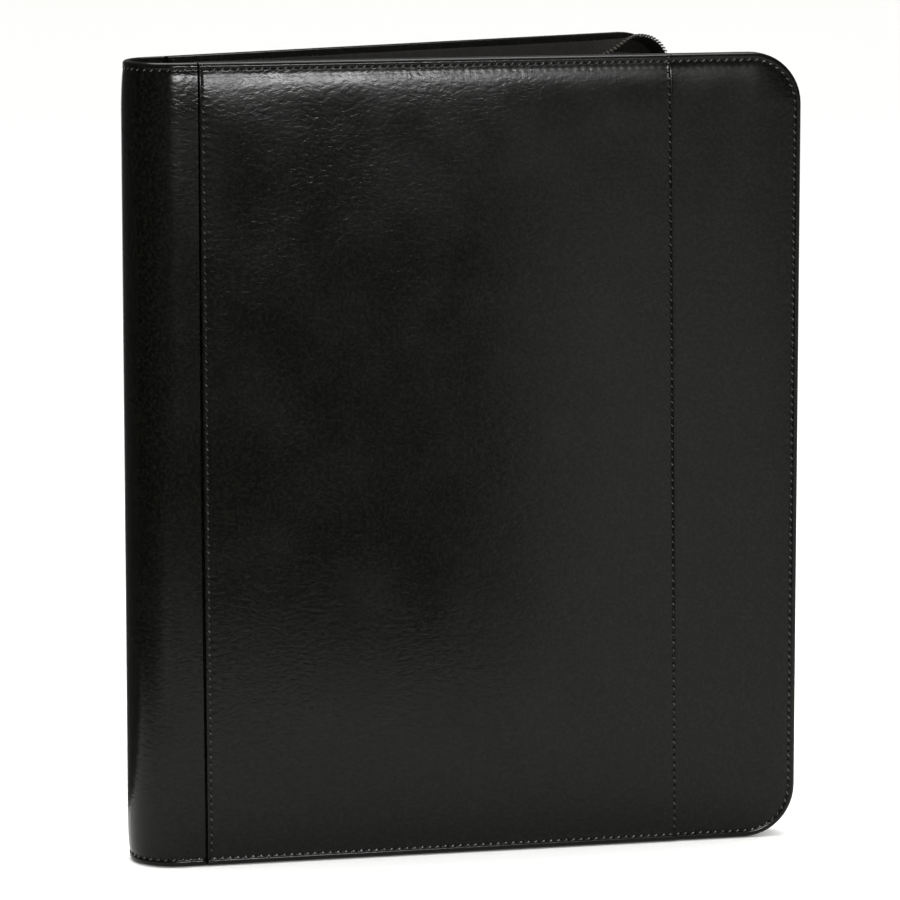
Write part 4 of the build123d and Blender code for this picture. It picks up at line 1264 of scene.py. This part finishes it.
def fibre_board(name, tone, lit):
    """Pressed fibre: matt, with longer and shorter fibres in two tones."""
    made, tree, shader, where = new_material(name)
    laid = node(tree, "Mapping", {"Vector": where, "Scale": (METRE / 1.2, METRE / 1.2, METRE / 4)})
    fibres = node(tree, "TexNoise", {"Vector": laid, "Scale": 1.0, "Detail": 4.0, "Roughness": 0.7})
    dress(tree, shader, fibres, (fibres, tone, lit), rise=0.08, Roughness=0.85, Specular_IOR_Level=0.3)
    return made


nickel = nickel_plate("nickel_plated_zinc")
grey_board = fibre_board("grey_binding_board", "#6f6a61", "#8c867b")
print("metal and board:", nickel.name, grey_board.name)

# %% Ruled paper
RULE_PITCH, RULE_WIDTH, MARGIN_AT = 7.1, 0.35, 32.0
PAPER = "#c9c7c0"
PAD_START, PAD_LOW, HEADER = 31.0, 24.0, 250.0


def ruled_paper(name):
    """White bond paper: blue rules and a red margin on its face, sheet lines on its cut edges."""
    made, tree, shader, where = new_material(name)
    flat = (cover_place(BACK) @ MIRROR).inverted()
    turned = node(tree, "Mapping", {"Vector": where, "Location": flat.translation,
                                    "Rotation": flat.to_euler(), "Scale": (METRE, METRE, METRE)})
    axes = node(tree, "SeparateXYZ", {0: turned})
    lines = []
    for source, start, pitch, width in ((axes.outputs["Y"], PAD_LOW, RULE_PITCH, RULE_WIDTH),
                                        (axes.outputs["X"], PAD_START + MARGIN_AT, 400.0, 2 * RULE_WIDTH)):
        shifted = node(tree, "Math", {0: source, 1: start}, operation="SUBTRACT")
        away = node(tree, "Math", {0: shifted, 1: pitch / 2}, operation="PINGPONG")
        lines.append(node(tree, "MapRange", {"Value": away, "From Min": width / 2, "From Max": width,
                                             "To Min": 1.0, "To Max": 0.0}))
    ruled = node(tree, "Mix", {0: lines[0], 6: colour(PAPER), 7: colour("#7d93b2")}, data_type="RGBA")
    below = node(tree, "Math", {0: axes.outputs["Y"], 1: PAD_LOW + HEADER}, operation="LESS_THAN")
    headed = node(tree, "Mix", {0: below, 6: colour(PAPER), 7: ruled.outputs[2]}, data_type="RGBA")
    margin = node(tree, "Mix", {0: lines[1], 6: headed.outputs[2], 7: colour("#b9726c")}, data_type="RGBA")
    deep = node(tree, "Mapping", {"Vector": turned, "Scale": (0.05, 0.05, 1 / 0.35)})
    leaves = node(tree, "TexNoise", {"Vector": deep, "Scale": 1.0, "Detail": 1.0})
    edge = node(tree, "Mix", {0: leaves, 6: colour("#a5a299"), 7: colour("#d2d0c8")}, data_type="RGBA")
    normal = node(tree, "TexCoord").outputs["Normal"]
    lying = node(tree, "VectorRotate", {"Vector": normal, "Rotation": flat.to_euler()},
                 rotation_type="EULER_XYZ")
    facing = node(tree, "SeparateXYZ", {0: lying})
    flatly = node(tree, "Math", {0: facing.outputs["Z"]}, operation="ABSOLUTE")
    on_face = node(tree, "Math", {0: flatly, 1: 0.7}, operation="GREATER_THAN")
    shade = node(tree, "Mix", {0: on_face, 6: edge.outputs[2], 7: margin.outputs[2]}, data_type="RGBA")
    tooth = node(tree, "TexNoise", {"Vector": where, "Scale": METRE / 0.6, "Detail": 2.0})
    dress(tree, shader, tooth, shade.outputs[2], rise=0.02, Roughness=0.85, Specular_IOR_Level=0.3)
    return made


paper = ruled_paper("ruled_bond_paper")
print("paper:", paper.name)

# %% Finishes of the rigid pieces
FINISHES = {
    "zip_slider": nickel, "zip_pull": nickel, "bottom_stop": black_enamel,
    "front_board": grey_board, "back_board": grey_board, "spine_stiffener": grey_board,
    "pad_backing": fibre_board("brown_chipboard", "#7d7163", "#a29581"),
    "pad_sheets": paper,
    "pad_binding": fibre_board("black_gummed_binding_paper", "#1b1b1c", "#343436"),
}
for name, finish in FINISHES.items():
    for slot in frame["nodes"][name].material_slots:
        slot.material = finish
print("finishes of CAD pieces:", sorted(FINISHES))

# %% The visual model's box
with open("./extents.json", "w") as file:
    json.dump({"cad": cad_box, "visual": [list(corner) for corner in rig.bounds()]}, file)
